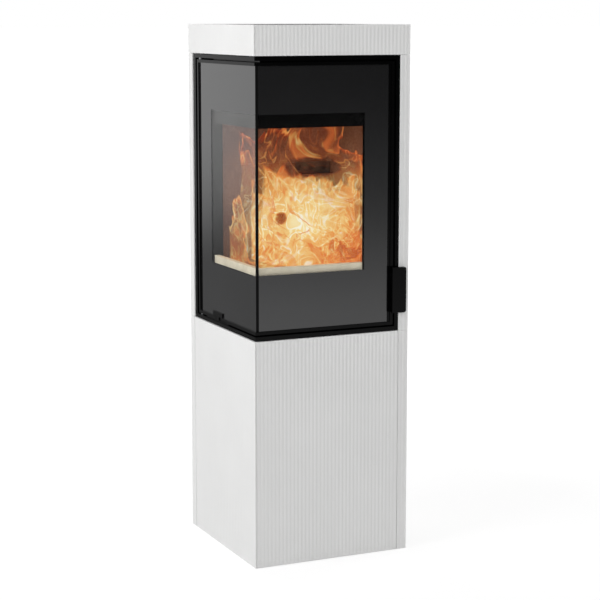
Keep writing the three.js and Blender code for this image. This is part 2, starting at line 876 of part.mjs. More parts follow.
function doorFrame() {
  const lip = frameRecess + lipSheet;
  const tall = [doorLow, doorHigh];
  const lowSlot = [doorLow - over, doorLow + doorRail + over];
  const tongueSlot = box(
    [frameRecess - over, frameRecess + lipSheet - tongueSkin],
    [gripMiddle - slideTongue / 2 - slideTravel - over, gripMiddle + slideTongue / 2 + over],
    lowSlot,
  );
  const ports = [];
  for (const step of [-1, 0, 1]) {
    const y = gripMiddle + step * airPortPitch;
    ports.push(box(
      [glassBack + seat, glassBack + seat + airPortWidth],
      [y - airPortLength / 2, y + airPortLength / 2],
      lowSlot,
    ));
  }
  const frame = join(
    cornerStrip(frameRecess, lipSheet, doorX, doorY, [doorLow, doorLow + doorRail]),
    cornerStrip(frameRecess, lipSheet, doorX, doorY, [doorHigh - doorRail, doorHigh]),
    cornerStrip(frameRecess, doorDepth, doorX, doorY, [doorLow, glassLow - seat]),
    cornerStrip(frameRecess, doorDepth, doorX, doorY, [glassHigh + seat, doorHigh]),
    box([lipX, doorX], [frameRecess, lip], tall),
    box([glassX + seat, doorX], [frameRecess, doorInner], tall),
    box([frameRecess, lip], [lipY, doorY], tall),
    box([frameRecess, doorInner], [glassY + seat, doorY], tall),
  );
  const lowHole = [doorLow - over, doorLow + hingeEngagement + over];
  const highHole = [doorHigh - hingeEngagement - over, doorHigh + over];
  const pinHoles = [lowHole, highHole].map((levels) => (
    post([hingeX, hingeY], hingeHole, levels, SMALL_ROUND)
  ));
  return cut(frame, tongueSlot, ...ports, ...pinHoles);
}
addPart('door_frame', doorFrame(), blackSteel);

// The side pane runs to the corner and the front pane butts against it.
const paneLevels = [glassLow, glassHigh];
const paneSpan = [glassFace, glassBack];
const sealSpan = [sealEdge, sealEdge + cornerSealWidth];
addPart('side_glass', box(paneSpan, [glassFace, glassY], paneLevels), smokedGlass);
addPart('front_glass', box([sealEdge, glassX], paneSpan, paneLevels), smokedGlass);
addPart('corner_seal', box(sealSpan, sealSpan, paneLevels), sealRope);

// An angle strip along each rail holds its pane against the lip: one leg on the glass and one
// on the rail.
function glassStrip(isFront, foot, leg) {
  const span = [glassStripStart, (isFront ? glassX : glassY) - glassStripEnd];
  const upright = [sealEdge, sealEdge + stripSheet];
  const flat = [sealEdge, doorInner - glassStripClearance];
  return isFront
    ? join(box(span, upright, leg), box(span, flat, foot))
    : join(box(upright, span, leg), box(flat, span, foot));
}
for (const [level, foot, leg] of [
  ['low', [glassLow, glassLow + stripSheet], [glassLow, glassLow + stripReach]],
  ['high', [glassHigh - stripSheet, glassHigh], [glassHigh - stripReach, glassHigh]],
]) {
  addPart(`glass_strip_front_${level}`, glassStrip(true, foot, leg), zincSteel);
  addPart(`glass_strip_side_${level}`, glassStrip(false, foot, leg), zincSteel);
}

// The rope seal runs round the back of the door and meets the face of the firebox.
function doorSeal() {
  const low = doorLow + doorRail - sealWidth;
  const high = doorHigh - doorRail + sealWidth;
  const near = doorInner + seat;
  const far = shellFace - seat;
  const endX = doorX - sealInset;
  const endY = doorY - sealInset;
  const strip = far - near;
  return join(
    cornerStrip(near, strip, endX, endY, [low, low + sealWidth]),
    cornerStrip(near, strip, endX, endY, [high - sealWidth, high]),
    box([endX - sealWidth, endX], [near, far], [low, high]),
    box([near, far], [endY - sealWidth, endY], [low, high]),
  );
}
addPart('door_seal', doorSeal(), sealRope);

// Hinge pins stand on the frame's sills, each with a collar that spaces the door off them.
function hingePin(sill, towards) {
  const collar = sill + towards * (doorLevelGap - seat);
  const tip = sill + towards * (doorLevelGap + hingeEngagement - hingePinShort);
  const profile = [
    [0, sill + towards * seat], [hingeCollarRadius, sill + towards * seat],
    [hingeCollarRadius, collar], [hingeRadius, collar], [hingeRadius, tip], [0, tip],
  ];
  return turn([hingeX, hingeY], towards > 0 ? profile : profile.reverse(), SMALL_ROUND);
}
addPart('hinge_pin_lower', hingePin(openingLow, 1), zincSteel);
addPart('hinge_pin_upper', hingePin(openingHigh, -1), zincSteel);

// The handle is a flat plate on two feet that stand on the free stile, and it reaches past the
// frame.
const handleLeft = doorX - handleOverlap;
const handleRear = frameRecess - handleStandoff;
const handleFront = handleRear - handleThickness;
function handle() {
  const [x0, x1] = [handleLeft, handleLeft + handleWidth];
  const [z0, z1] = [baseHeight + handleRise, baseHeight + handleRise + handleHeight];
  const shape = new THREE.Shape();
  shape.moveTo(x0, z0);
  shape.lineTo(x1 - handleCorner, z0);
  shape.absarc(x1 - handleCorner, z0 + handleCorner, handleCorner, -Math.PI / 2, 0);
  shape.absarc(x1 - handleCorner, z1 - handleCorner, handleCorner, 0, Math.PI / 2);
  shape.lineTo(x0, z1);
  const plate = new THREE.ExtrudeGeometry(shape, {
    depth: handleThickness,
    bevelEnabled: false,
    curveSegments: 4,
  });
  plate.rotateX(Math.PI / 2).translate(0, handleRear, 0);
  const span = [x0 + seat, doorX];
  const stand = [handleRear - over, frameRecess - seat];
  const lowFoot = box(span, stand, [z0 + handleFoot, z0 + 2 * handleFoot]);
  const highFoot = box(span, stand, [z1 - 2 * handleFoot, z1 - handleFoot]);
  return join(plate, lowFoot, highFoot);
}
addPart('handle', handle(), blackSteel);

// The air slide runs under the door's lower rail, with a grip in front of the side pane.
function airSlide() {
  const railTop = doorLow + doorRail;
  const under = doorLow - seat;
  const front = frameRecess + gripInset;
  const grip = box(
    [front, front + gripSheet],
    [gripFront, gripRear],
    [railTop + seat, railTop + gripHeight],
  );
  const tongue = box(
    [front, frameRecess + lipSheet - tongueSkin - tongueClearance],
    [gripMiddle - slideTongue / 2, gripMiddle + slideTongue / 2],
    [under - slideSheet, railTop + gripHeight / 2],
  );
  const plate = box(
    [front, doorInner - slideInset],
    [gripMiddle - slideLength / 2, gripMiddle + slideLength / 2],
    [under - slideSheet, under],
  );
  return join(grip, tongue, plate);
}
addPart('air_slide', airSlide(), blackSteel);

// ---------------------------------------------------------------- catch

// The strike is a plate along the door's arc, which passes the roller on its inner side.
const strikeRadius = Math.hypot(doorX - strikeInset - hingeX, hingeY - doorInner);

// A plan point at a radius and angle about the hinge, and the angle at which an arc meets the
// back of the door.
function arcPoint(radius, angle) {
  return [hingeX + radius * Math.cos(angle), hingeY - radius * Math.sin(angle)];
}

function rootAngle(radius) {
  return Math.asin((hingeY - doorInner - seat) / radius);
}

const strikeTip = rootAngle(strikeRadius) - strikeReach / strikeRadius;
function strikePlate() {
  const outer = strikeRadius + strikeSheet;
  const outline = [
    arcPoint(strikeRadius, strikeTip), arcPoint(outer, strikeTip),
    arcPoint(outer, rootAngle(outer)), arcPoint(strikeRadius, rootAngle(strikeRadius)),
  ].reverse();
  return raise(outline, [catchLevel - strikeHeight / 2, catchLevel + strikeHeight / 2]);
}
addPart('strike_plate', strikePlate(), zincSteel);

const rollerCentre = arcPoint(
  strikeRadius - rollerRadius - strikeClearance,
  strikeTip + rollerLead / strikeRadius,
);
const rollerLevels = [catchLevel - rollerHeight / 2, catchLevel + rollerHeight / 2];
function catchRoller() {
  const through = [rollerLevels[0] - over, rollerLevels[1] + over];
  const bore = post(rollerCentre, rollerPinRadius + rollerClearance, through, SMALL_ROUND);
  return cut(post(rollerCentre, rollerRadius, rollerLevels, SMALL_ROUND), bore);
}
addPart('catch_roller', catchRoller(), zincSteel);

function catchPin() {
  const reach = catchSheet + rollerPinProud;
  const levels = [rollerLevels[0] - reach, rollerLevels[1] + reach];
  return post(rollerCentre, rollerPinRadius, levels, SMALL_ROUND);
}
addPart('catch_pin', catchPin(), zincSteel);

function catchBracket() {
  const near = shellRight + shellSheet + seat;
  const far = rollerCentre[0] + rollerRadius;
  const span = [rollerCentre[1] - rollerRadius, rollerCentre[1] + rollerRadius * 2];
  const low = [rollerLevels[0] - seat - catchSheet, rollerLevels[0] - seat];
  const high = [rollerLevels[1] + seat, rollerLevels[1] + seat + catchSheet];
  const through = [low[0] - over, high[1] + over];
  const hole = post(rollerCentre, rollerPinRadius + seat, through, SMALL_ROUND);
  const web = box([near, near + catchSheet], span, [low[0], high[1]]);
  const ears = [low, high].map((levels) => box([near, far], span, levels));
  return cut(join(web, ...ears), hole);
}
addPart('catch_bracket', catchBracket(), zincSteel);

// ---------------------------------------------------------------- placing

// The origin is the middle of the floor area that the stove takes up, handle included.
stove.position.set(-width / 2, -(depth + handleFront) / 2, 0);

const part = new THREE.Group();
part.name = 'corner_window_stove';
part.add(stove);

export default part;
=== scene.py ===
# %% [markdown]
# # A tall corner-window wood stove
# This lesson dresses a stove whose steel, glass and cast parts are already there as plain solids.
# We could model it all afresh, but then nothing would promise that the pieces still fit. So we
# load those solids as a fixed frame, stand a camera where the photographer stood, and work from
# the outside in: the fluted cast surround, the black door, the glass and the fire.

# %% Load the frame
import math

import bmesh
import bpy
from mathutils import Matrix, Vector, noise


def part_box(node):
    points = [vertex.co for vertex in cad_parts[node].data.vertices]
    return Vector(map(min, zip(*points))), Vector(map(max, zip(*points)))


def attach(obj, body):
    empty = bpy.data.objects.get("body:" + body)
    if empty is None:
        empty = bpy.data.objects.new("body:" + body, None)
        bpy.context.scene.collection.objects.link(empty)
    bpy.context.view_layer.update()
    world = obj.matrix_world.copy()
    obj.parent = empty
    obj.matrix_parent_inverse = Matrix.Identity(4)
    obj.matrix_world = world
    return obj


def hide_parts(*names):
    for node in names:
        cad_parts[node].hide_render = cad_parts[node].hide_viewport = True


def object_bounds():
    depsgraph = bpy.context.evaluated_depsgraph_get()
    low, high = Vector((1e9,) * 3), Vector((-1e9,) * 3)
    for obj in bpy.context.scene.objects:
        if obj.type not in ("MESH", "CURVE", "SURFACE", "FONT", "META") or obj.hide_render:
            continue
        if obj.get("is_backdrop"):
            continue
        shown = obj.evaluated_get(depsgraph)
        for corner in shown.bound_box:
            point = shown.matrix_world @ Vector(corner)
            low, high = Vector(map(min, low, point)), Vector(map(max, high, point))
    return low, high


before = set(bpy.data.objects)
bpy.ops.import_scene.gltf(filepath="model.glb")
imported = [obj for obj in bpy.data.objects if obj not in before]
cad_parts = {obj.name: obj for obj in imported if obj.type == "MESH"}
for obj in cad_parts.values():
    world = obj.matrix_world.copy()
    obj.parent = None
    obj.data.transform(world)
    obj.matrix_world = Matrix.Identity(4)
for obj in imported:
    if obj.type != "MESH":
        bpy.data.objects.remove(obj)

frame_low, frame_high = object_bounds()
scene = bpy.context.scene

# %% [markdown]
# ## Where things are
# Positions could be typed in by hand, and would be wrong as soon as a solid changed. Every solid
# says where it stands, so we ask it instead. The surround's outer faces give us a corner to
# measure from: x runs right from the left face, y runs back from the front face. Lengths on a
# stove are drawn in millimetres, so one helper turns such a triple into metres.

# %% The surround's outer faces
MM = 0.001
base_low, base_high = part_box("base_panel_rear_right")
LEFT, RIGHT = base_low.x, base_high.x
FRONT, REAR = base_low.y, base_high.y
WIDTH, DEPTH = (RIGHT - LEFT) / MM, (REAR - FRONT) / MM


def at(x, y, z):
    """A point in millimetres from the front left corner of the footprint, in metres."""
    return Vector((LEFT + x * MM, FRONT + y * MM, z * MM))


print("surround:", round(WIDTH), "by", round(DEPTH), "mm")

# %% [markdown]
# ## The camera
# The photograph looks at the stove from its left and from just above its top, so the dark top
# plate shows as a thin line along the top edge. The upright edges stay parallel. A camera gets
# that by sliding the lens down instead of tilting, but a lens slid that far would push the stove
# out of every other view. So this one tilts and keeps a tiny slide. It stands and zooms where
# the corners of the stove land closest to where they were seen.

# %% Stand the camera
CAMERA_PLACE = (-2.0987, -4.6149, 1.5500)
CAMERA_TURN = 24.537
CAMERA_TILT = 8.901
FOCAL_PIXELS, PICTURE_WIDTH, SENSOR_WIDTH = 1740.55, 600, 36
CAMERA_LENS = FOCAL_PIXELS / PICTURE_WIDTH * SENSOR_WIDTH
CAMERA_SHIFT = -0.02

lens = bpy.data.cameras.new("studio_camera")
lens.lens = CAMERA_LENS
lens.shift_y = CAMERA_SHIFT
camera = bpy.data.objects.new("studio_camera", lens)
camera.location = CAMERA_PLACE
camera.rotation_euler = (math.radians(90 - CAMERA_TILT), 0, math.radians(-CAMERA_TURN))
scene.collection.objects.link(camera)
scene.camera = camera
scene.view_settings.view_transform = "Standard"
print("lens:", round(CAMERA_LENS, 1), "mm")

# %% [markdown]
# ## A short hand for node trees
# A finish is a small tree of nodes: noise goes in, and colour, roughness and bumps come out.
# Pictures wrapped round a piece could do the same, but they need unwrapping and show their
# pixels up close. Nodes need neither, and a few helpers keep each recipe short enough to read.

# %% Add a node, do a sum
def put(tree, kind, settings=None, sockets=None):
    """Adds a node, sets its options, and fills or links its sockets by name or number."""
    node = tree.nodes.new("ShaderNode" + kind)
    for key, value in (settings or {}).items():
        setattr(node, key, value)
    for key, value in (sockets or {}).items():
        if isinstance(value, bpy.types.NodeSocket):
            tree.links.new(value, node.inputs[key])
        else:
            node.inputs[key].default_value = value
    return node


def calc(tree, operation, first, second=0.0, clamp=False):
    """One step of arithmetic on the surface."""
    node = put(tree, "Math", {"operation": operation, "use_clamp": clamp}, {0: first, 1: second})
    return node.outputs[0]


def times(tree, first, second):
    """One value scaled by another."""
    return calc(tree, "MULTIPLY", first, second)


def plus(tree, first, second):
    """The sum of two values."""
    return calc(tree, "ADD", first, second)


def minus(tree, first, second):
    """What is left of the first value without the second."""
    return calc(tree, "SUBTRACT", first, second)


print("sums:", times.__name__, plus.__name__, minus.__name__)


# %% Noise, ramps, colours and bumps
def speckle(tree, scale, detail=2.0, where=None, distortion=0.0):
    """Soft noise from 0 to 1 over the piece, in the piece's own metres."""
    if where is None:
        where = put(tree, "TexCoord").outputs["Object"]
    sockets = {"Vector": where, "Scale": scale, "Detail": detail, "Distortion": distortion}
    return put(tree, "TexNoise", sockets=sockets)


def ramp(tree, value, start, end, low=0.0, high=1.0, curve="LINEAR"):
    """Goes from low to high while value goes from start to end, and stays there outside."""
    node = put(tree, "MapRange", {"interpolation_type": curve}, {
        "Value": value, "From Min": start, "From Max": end, "To Min": low, "To Max": high})
    return node.outputs[0]


def ease(tree, value, start, end, low=0.0, high=1.0):
    """A ramp with a soft start and a soft stop."""
    return ramp(tree, value, start, end, low, high, "SMOOTHSTEP")


def spread(tree, value, low, high):
    """Maps 0 to 1 onto low to high."""
    return ramp(tree, value, 0.0, 1.0, low, high)


def blend_stops(tree, value, stops):
    """A ramp of colours: stops are (position, colour) with linear red, green and blue."""
    node = put(tree, "ValToRGB", sockets={"Fac": value})
    points = node.color_ramp.elements
    while len(points) < len(stops):
        points.new(0.5)
    for point, (position, colour) in zip(points, stops):
        point.position = position
        point.color = (*colour, 1.0)
    return node.outputs["Color"]


def tinted(tree, share, first, second):
    """The first colour where share is 0, the second where it is 1."""
    sockets = {"Factor": share, 6: first, 7: second}
    return put(tree, "Mix", {"data_type": "RGBA"}, sockets).outputs[2]


def bumps(tree, height, distance, strength=1.0):
    """Turns a height into a surface that catches light."""
    sockets = {"Height": height, "Distance": distance, "Strength": strength}
    return put(tree, "Bump", sockets=sockets).outputs["Normal"]


print("surface helpers:", speckle.__name__, ramp.__name__, bumps.__name__)


# %% Start a finish and drive it
def new_finish(name, **sockets):
    """A material with one Principled shader. Returns it, its tree and the shader."""
    finish = bpy.data.materials.new(name)
    finish.use_nodes = True
    tree = finish.node_tree
    tree.nodes.clear()
    named = {key.replace("_", " "): value for key, value in sockets.items()}
    shader = put(tree, "BsdfPrincipled", sockets=named)
    out = put(tree, "OutputMaterial")
    tree.links.new(shader.outputs[0], out.inputs["Surface"])
    return finish, tree, shader


def drive(tree, shader, **sockets):
    """Links node outputs to the shader's sockets."""
    for key, value in sockets.items():
        tree.links.new(value, shader.inputs[key.replace("_", " ")])


print("finish helpers:", new_finish.__name__, drive.__name__)

# %% [markdown]
# ## The studio
# A catalogue picture stands its object on white paper under big soft lamps. We could light the
# paper until it is white, but then the pale surround would burn out too. So the paper only
# looks white to the camera, but for the stove's shadow, and the light that bounces off it stays
# at a plain level. Glass and steel mirror the room, so mirrored rays see a room of their own:
# bright behind the stove, dim behind the camera, and a pale floor between.

# %% The room that glass and steel mirror
MIRROR_AXIS = Vector((0.41, -0.91, 0.0))
FRONT_SPAN, FRONT_FAR, FRONT_NEAR = (0.02, 0.25), 0.09, 1.60
BACK_SPAN, BACK_FAR, BACK_NEAR = (-0.04, -0.17), 1.20, 0.32


def room_light(tree, side, closeness):
    """How bright a mirrored ray sees the room. Side is positive in front of the stove. Closeness
    is 1 over the metres along the mirror axis where the ray lands on the paper: positive in
    front, negative behind, 0 at the horizon."""
    front = ease(tree, closeness, *FRONT_SPAN, FRONT_FAR, FRONT_NEAR)
    back = ease(tree, closeness, *BACK_SPAN, BACK_FAR, BACK_NEAR)
    is_front = calc(tree, "GREATER_THAN", side, 0.0)
    return put(tree, "Mix", sockets={"Factor": is_front, "A": back, "B": front}).outputs[0]


def along_mirror(tree, where):
    """How far a place or a direction reaches along the mirror axis."""
    node = put(tree, "VectorMath", {"operation": "DOT_PRODUCT"}, {0: where, 1: MIRROR_AXIS})
    return node.outputs["Value"]


def seen_straight(tree, path):
    """1 for rays that reach the room from the camera, also through glass, and 0 after a bounce."""
    bounces = plus(tree, path.outputs["Diffuse Depth"], path.outputs["Glossy Depth"])
    direct = calc(tree, "SUBTRACT", 1.0, bounces, clamp=True)
    through = times(tree, path.outputs["Is Transmission Ray"], direct)
    return calc(tree, "MAXIMUM", path.outputs["Is Camera Ray"], through)


def by_ray(tree, path, usual, mirrored, straight):
    """Three shaders in one: for bounced light, for mirrors, and for the camera."""
    bounced = put(tree, "MixShader", sockets={
        0: path.outputs["Is Glossy Ray"], 1: usual.outputs[0], 2: mirrored.outputs[0]})
    whole = put(tree, "MixShader", sockets={
        0: seen_straight(tree, path), 1: bounced.outputs[0], 2: straight.outputs[0]})
    return whole.outputs[0]


print("mirror axis:", tuple(round(c, 2) for c in MIRROR_AXIS))

# %% White paper floor
PAPER_SIZE = 400.0
PAPER_TONE, PAPER_SHOWS = 0.8, 0.35
GLOW_FADE, GLOW_NEAR, GLOW_FAR = (1.0, 3.5), 0.72, 0.99


def make_paper_finish():
    """Plain paper to bounced light, and to the camera a glow over a faint shadow."""
    finish = bpy.data.materials.new("paper")
    finish.use_nodes = True
    tree = finish.node_tree
    tree.nodes.clear()
    where = put(tree, "TexCoord").outputs["Object"]
    far = put(tree, "VectorMath", {"operation": "LENGTH"}, {0: where}).outputs["Value"]
    brightness = ramp(tree, far, *GLOW_FADE, GLOW_NEAR, GLOW_FAR)
    shown = put(tree, "BsdfDiffuse", sockets={"Color": (PAPER_SHOWS,) * 3 + (1,)})
    glow = put(tree, "Emission", sockets={"Color": (1, 1, 1, 1), "Strength": brightness})
    seen = put(tree, "AddShader", sockets={0: shown.outputs[0], 1: glow.outputs[0]})
    plain = put(tree, "BsdfDiffuse", sockets={"Color": (PAPER_TONE,) * 3 + (1,)})
    along = along_mirror(tree, where)
    room = put(tree, "Emission", sockets={
        "Strength": room_light(tree, along, calc(tree, "DIVIDE", 1.0, along))})
    out = put(tree, "OutputMaterial")
    whole = by_ray(tree, put(tree, "LightPath"), plain, room, seen)
    tree.links.new(whole, out.inputs["Surface"])
    return finish


def make_paper():
    """The floor: a wide sheet whose shadow shows faintly."""
    mesh = bpy.data.meshes.new("paper_floor")
    half = PAPER_SIZE / 2
    corners = [(-half, -half, 0), (half, -half, 0), (half, half, 0), (-half, half, 0)]
    mesh.from_pydata(corners, [], [(0, 1, 2, 3)])
    floor = bpy.data.objects.new("paper_floor", mesh)
    scene.collection.objects.link(floor)
    mesh.materials.append(make_paper_finish())
    return floor


paper = make_paper()
paper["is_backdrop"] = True
print("floor:", paper.name, PAPER_SIZE, "m wide")

# %% Light from all round
WORLD_LIGHT = 0.42
world = bpy.data.worlds.new("studio")
scene.world = world
world.use_nodes = True
tree = world.node_tree
tree.nodes.clear()
around = put(tree, "Background", sockets={"Color": (1, 1, 1, 1), "Strength": WORLD_LIGHT})
white = put(tree, "Background", sockets={"Color": (1, 1, 1, 1), "Strength": 1.0})
side = along_mirror(tree, put(tree, "TexCoord").outputs["Generated"])
room = put(tree, "Background", sockets={"Strength": room_light(tree, side, 0.0)})
out = put(tree, "OutputWorld")
whole = by_ray(tree, put(tree, "LightPath"), around, room, white)
tree.links.new(whole, out.inputs["Surface"])
print("world light:", WORLD_LIGHT)


# %% Soft lamps
def soft_lamp(name, place, target, size, power):
    """A square lamp at a place, turned to a target. Mirrored rays don't see it."""
    lamp = bpy.data.lights.new(name, "AREA")
    lamp.size = size
    lamp.energy = power
    stand = bpy.data.objects.new(name, lamp)
    stand.location = place
    aim = Vector(target) - Vector(place)
    stand.rotation_euler = aim.to_track_quat("-Z", "Y").to_euler()
    stand.visible_glossy = False
    scene.collection.objects.link(stand)


soft_lamp("left_lamp", (-3.6, -0.6, 2.6), (0, 0, 1.0), 2.4, 78)
soft_lamp("front_lamp", (-0.7, -4.6, 2.8), (-0.2, 0, 0.8), 2.6, 44)
soft_lamp("right_lamp", (3.8, 1.2, 2.4), (0, 0, 0.8), 2.4, 45)
soft_lamp("rear_lamp", (-0.6, 4.2, 2.6), (0, 0, 0.8), 2.4, 45)

# %% [markdown]
# ## Finish: painted cast stone
# The surround is cast in one pour from fine pale concrete and rolled with white wall paint.
# Paint keeps the casting's skin: faint clouds of tone, a fine grain, and a few pinholes where
# air sat against the mould. A flat white would look like plastic. Noise at three sizes gives the
# skin back, and the pinholes are the middles of small cells, kept only in some places.

# %% Cast stone
PINHOLE_CELLS, PINHOLE_RIM = 95.0, (0.03, 0.07)
PLACES_SCALE, PLACES_SHARE = 23.0, 0.42


def make_cast_finish():
    """White paint over fine concrete."""
    finish, tree, shader = new_finish("painted_cast_stone", Specular_IOR_Level=0.35)
    clouds = speckle(tree, 5.0, 3.0).outputs["Fac"]
    grain = speckle(tree, 420.0, 4.0).outputs["Fac"]
    tone = plus(tree, times(tree, clouds, 0.7), times(tree, grain, 0.3))
    paint = blend_stops(tree, tone, [(0.30, (0.82, 0.82, 0.815)), (0.70, (0.855, 0.855, 0.85))])
    holes = put(tree, "TexVoronoi", sockets={
        "Vector": put(tree, "TexCoord").outputs["Object"],
        "Scale": PINHOLE_CELLS}).outputs["Distance"]
    rim = ramp(tree, holes, *PINHOLE_RIM)
    places = speckle(tree, PLACES_SCALE, 1.0).outputs["Fac"]
    filled = calc(tree, "GREATER_THAN", places, PLACES_SHARE)
    whole_skin = calc(tree, "MAXIMUM", rim, filled)
    # Inside the pinholes the colour turns a darker grey: painted shade in the holes. The bump
    # below also sinks them.
    shade = tinted(tree, whole_skin, (0.62, 0.62, 0.61, 1), paint)
    height = plus(tree, times(tree, grain, 0.35), whole_skin)
    drive(tree, shader, Base_Color=shade, Roughness=spread(tree, grain, 0.72, 0.9),
          Normal=bumps(tree, height, 0.0004, 0.6))
    return finish


CAST = make_cast_finish()
print("finish:", CAST.name)

# %% [markdown]
# ## Finish: black powder coat
# The door and its frame are folded steel with a satin black powder coat. The powder melts into
# a skin that is never quite flat, like fine orange peel, and it picks up dust and fingerprints
# that only show in its sheen. A darker or lighter black would hardly be seen, so the colour
# barely moves, and the roughness and bump do. The same recipe with other numbers gives the
# rough furnace paint inside and the steel that soot has greyed.

# %% Powder coat, sooty steel and furnace paint
def make_coat(name, dark, light, shine, rough, peel_scale, peel_depth):
    """A thin coat whose sheen wanders between the two roughnesses."""
    finish, tree, shader = new_finish(name, Specular_IOR_Level=shine)
    clouds = speckle(tree, 9.0, 3.0).outputs["Fac"]
    peel = speckle(tree, peel_scale, 2.0).outputs["Fac"]
    drive(tree, shader,
          Base_Color=blend_stops(tree, clouds, [(0.3, dark), (0.7, light)]),
          Roughness=spread(tree, times(tree, clouds, peel), *rough),
          Normal=bumps(tree, peel, peel_depth))
    return finish


BLACK = make_coat("black_powder_coat", (0.0011, 0.0011, 0.0012), (0.0019, 0.0019, 0.0020),
                  0.06, (0.10, 0.26), 1100.0, 0.00002)
SOOTY = make_coat("sooty_steel", (0.045, 0.036, 0.031), (0.085, 0.070, 0.060),
                  0.35, (0.35, 0.60), 500.0, 0.00006)
FURNACE = make_coat("furnace_paint", (0.0055, 0.0053, 0.0052), (0.0095, 0.0090, 0.0088),
                    0.15, (0.55, 0.85), 700.0, 0.00008)
print("coats:", BLACK.name, SOOTY.name, FURNACE.name)

# %% [markdown]
# ## Finish: zinc and iron
# Brackets, pins, the ash pan and the heat shields are galvanised sheet, whose zinc sets in flat
# crystals that each mirror a little differently. Noise would blur them, so a cell pattern picks
# one tone for each. The grate is sand-cast iron, with ash lying in its pores.

# %% Galvanised sheet
def make_zinc():
    """Flat crystals, each with its own tone and sheen."""
    finish, tree, shader = new_finish("zinc_sheet", Metallic=0.85)
    where = put(tree, "TexCoord").outputs["Object"]
    crystal = put(tree, "TexVoronoi", sockets={"Vector": where, "Scale": 130.0}).outputs["Color"]
    value = put(tree, "SeparateColor", sockets={"Color": crystal}).outputs["Red"]
    dust = speckle(tree, 14.0, 4.0).outputs["Fac"]
    stops = [(0.0, (0.30, 0.31, 0.32)), (1.0, (0.50, 0.51, 0.53))]
    drive(tree, shader, Base_Color=blend_stops(tree, value, stops),
          Roughness=spread(tree, times(tree, value, dust), 0.32, 0.62),
          Normal=bumps(tree, value, 0.00002))
    return finish


ZINC = make_zinc()
print("finish:", ZINC.name)


# %% Grate iron
def make_iron():
    """Sand-cast iron: dark, with pale ash where the slow noise is high."""
    finish, tree, shader = new_finish("grate_iron", Metallic=0.3)
    sand = speckle(tree, 380.0, 5.0).outputs["Fac"]
    ash = speckle(tree, 40.0, 4.0).outputs["Fac"]
    stops = [(0.35, (0.018, 0.017, 0.016)), (0.62, (0.035, 0.033, 0.031)),
             (0.8, (0.12, 0.11, 0.10))]
    drive(tree, shader, Base_Color=blend_stops(tree, ash, stops),
          Roughness=spread(tree, sand, 0.6, 0.95), Normal=bumps(tree, sand, 0.0005))
    return finish


IRON = make_iron()
print("finish:", IRON.name)

# %% [markdown]
# ## Finish: fire boards
# The walls of the fire chamber are boards pressed from vermiculite, a golden mica that puffs up
# into flakes. Smoke stains them red-brown where it drifts, and flame burns them clean. Small
# cells give each flake a tone of its own, and one slow noise draws the smoke over them all.

# %% Vermiculite board
SMOKE_STAIN = (0.070, 0.022, 0.017, 1)
SMOKE_SPAN, LEAST_STAIN, MOST_STAIN = (0.35, 0.65), 0.25, 0.75


def make_board():
    """Pressed flakes under a veil of smoke."""
    finish, tree, shader = new_finish("vermiculite_board", Specular_IOR_Level=0.3)
    where = put(tree, "TexCoord").outputs["Object"]
    flake = put(tree, "TexVoronoi", sockets={"Vector": where, "Scale": 330.0})
    tone = put(tree, "SeparateColor", sockets={"Color": flake.outputs["Color"]}).outputs["Red"]
    clean = blend_stops(tree, tone, [
        (0.0, (0.13, 0.078, 0.055)), (0.5, (0.20, 0.13, 0.095)), (1.0, (0.28, 0.19, 0.14))])
    smoke = speckle(tree, 7.0, 5.0, distortion=0.6).outputs["Fac"]
    stain = ramp(tree, smoke, *SMOKE_SPAN, LEAST_STAIN, MOST_STAIN)
    shade = tinted(tree, stain, clean, SMOKE_STAIN)
    height = plus(tree, tone, speckle(tree, 160.0, 3.0).outputs["Fac"])
    drive(tree, shader, Base_Color=shade, Roughness=spread(tree, tone, 0.75, 0.98),
          Normal=bumps(tree, height, 0.0004, 0.8))
    return finish


BOARD = make_board()
print("finish:", BOARD.name)

# %% [markdown]
# ## Finish: ceramic bars and rope
# The bars that hold the logs off the glass are pale fired ceramic, clouded by the kiln. The door
# seals on black glass rope. Its braid could be modelled strand by strand, but it is 7 mm thick
# and mostly hidden, so two sets of slanting waves, one over the other, draw it as a bump, with
# painted shade darkening the grooves between the strands.

# %% Ceramic bars
def make_bar():
    """Pale cream ceramic with a dry, fine grain."""
    finish, tree, shader = new_finish("retainer_ceramic", Specular_IOR_Level=0.4)
    clouds = speckle(tree, 22.0, 4.0).outputs["Fac"]
    grain = speckle(tree, 600.0, 2.0).outputs["Fac"]
    stops = [(0.25, (0.60, 0.54, 0.42)), (0.5, (0.72, 0.66, 0.52)), (0.75, (0.80, 0.74, 0.60))]
    drive(tree, shader, Base_Color=blend_stops(tree, clouds, stops),
          Roughness=spread(tree, grain, 0.7, 0.92), Normal=bumps(tree, grain, 0.0002))
    return finish


BAR = make_bar()
print("finish:", BAR.name)

# %% Glass rope
STRAND_TILT, STRAND_TURN = 0.6, 0.3


def make_rope():
    """Braid: two sets of slanting waves, one over the other, with painted shade in the grooves."""
    finish, tree, shader = new_finish("glass_rope", Specular_IOR_Level=0.3, Sheen_Weight=0.15)
    where = put(tree, "TexCoord").outputs["Object"]
    strands = []
    for lean in (STRAND_TILT, -STRAND_TILT):
        slant = put(tree, "Mapping", sockets={
            "Vector": where, "Rotation": (lean, lean, STRAND_TURN)}).outputs[0]
        wave = put(tree, "TexWave", sockets={"Vector": slant, "Scale": 190.0, "Distortion": 0.5})
        strands.append(wave.outputs["Fac"])
    braid = calc(tree, "MAXIMUM", *strands)
    # The colour follows the waves: darker in the grooves between strands, which is painted shade.
    stops = [(0.2, (0.006, 0.006, 0.006)), (0.9, (0.03, 0.029, 0.028))]
    drive(tree, shader, Base_Color=blend_stops(tree, braid, stops),
          Roughness=spread(tree, braid, 0.98, 0.8), Normal=bumps(tree, braid, 0.0004))
    return finish


ROPE = make_rope()
print("finish:", ROPE.name)

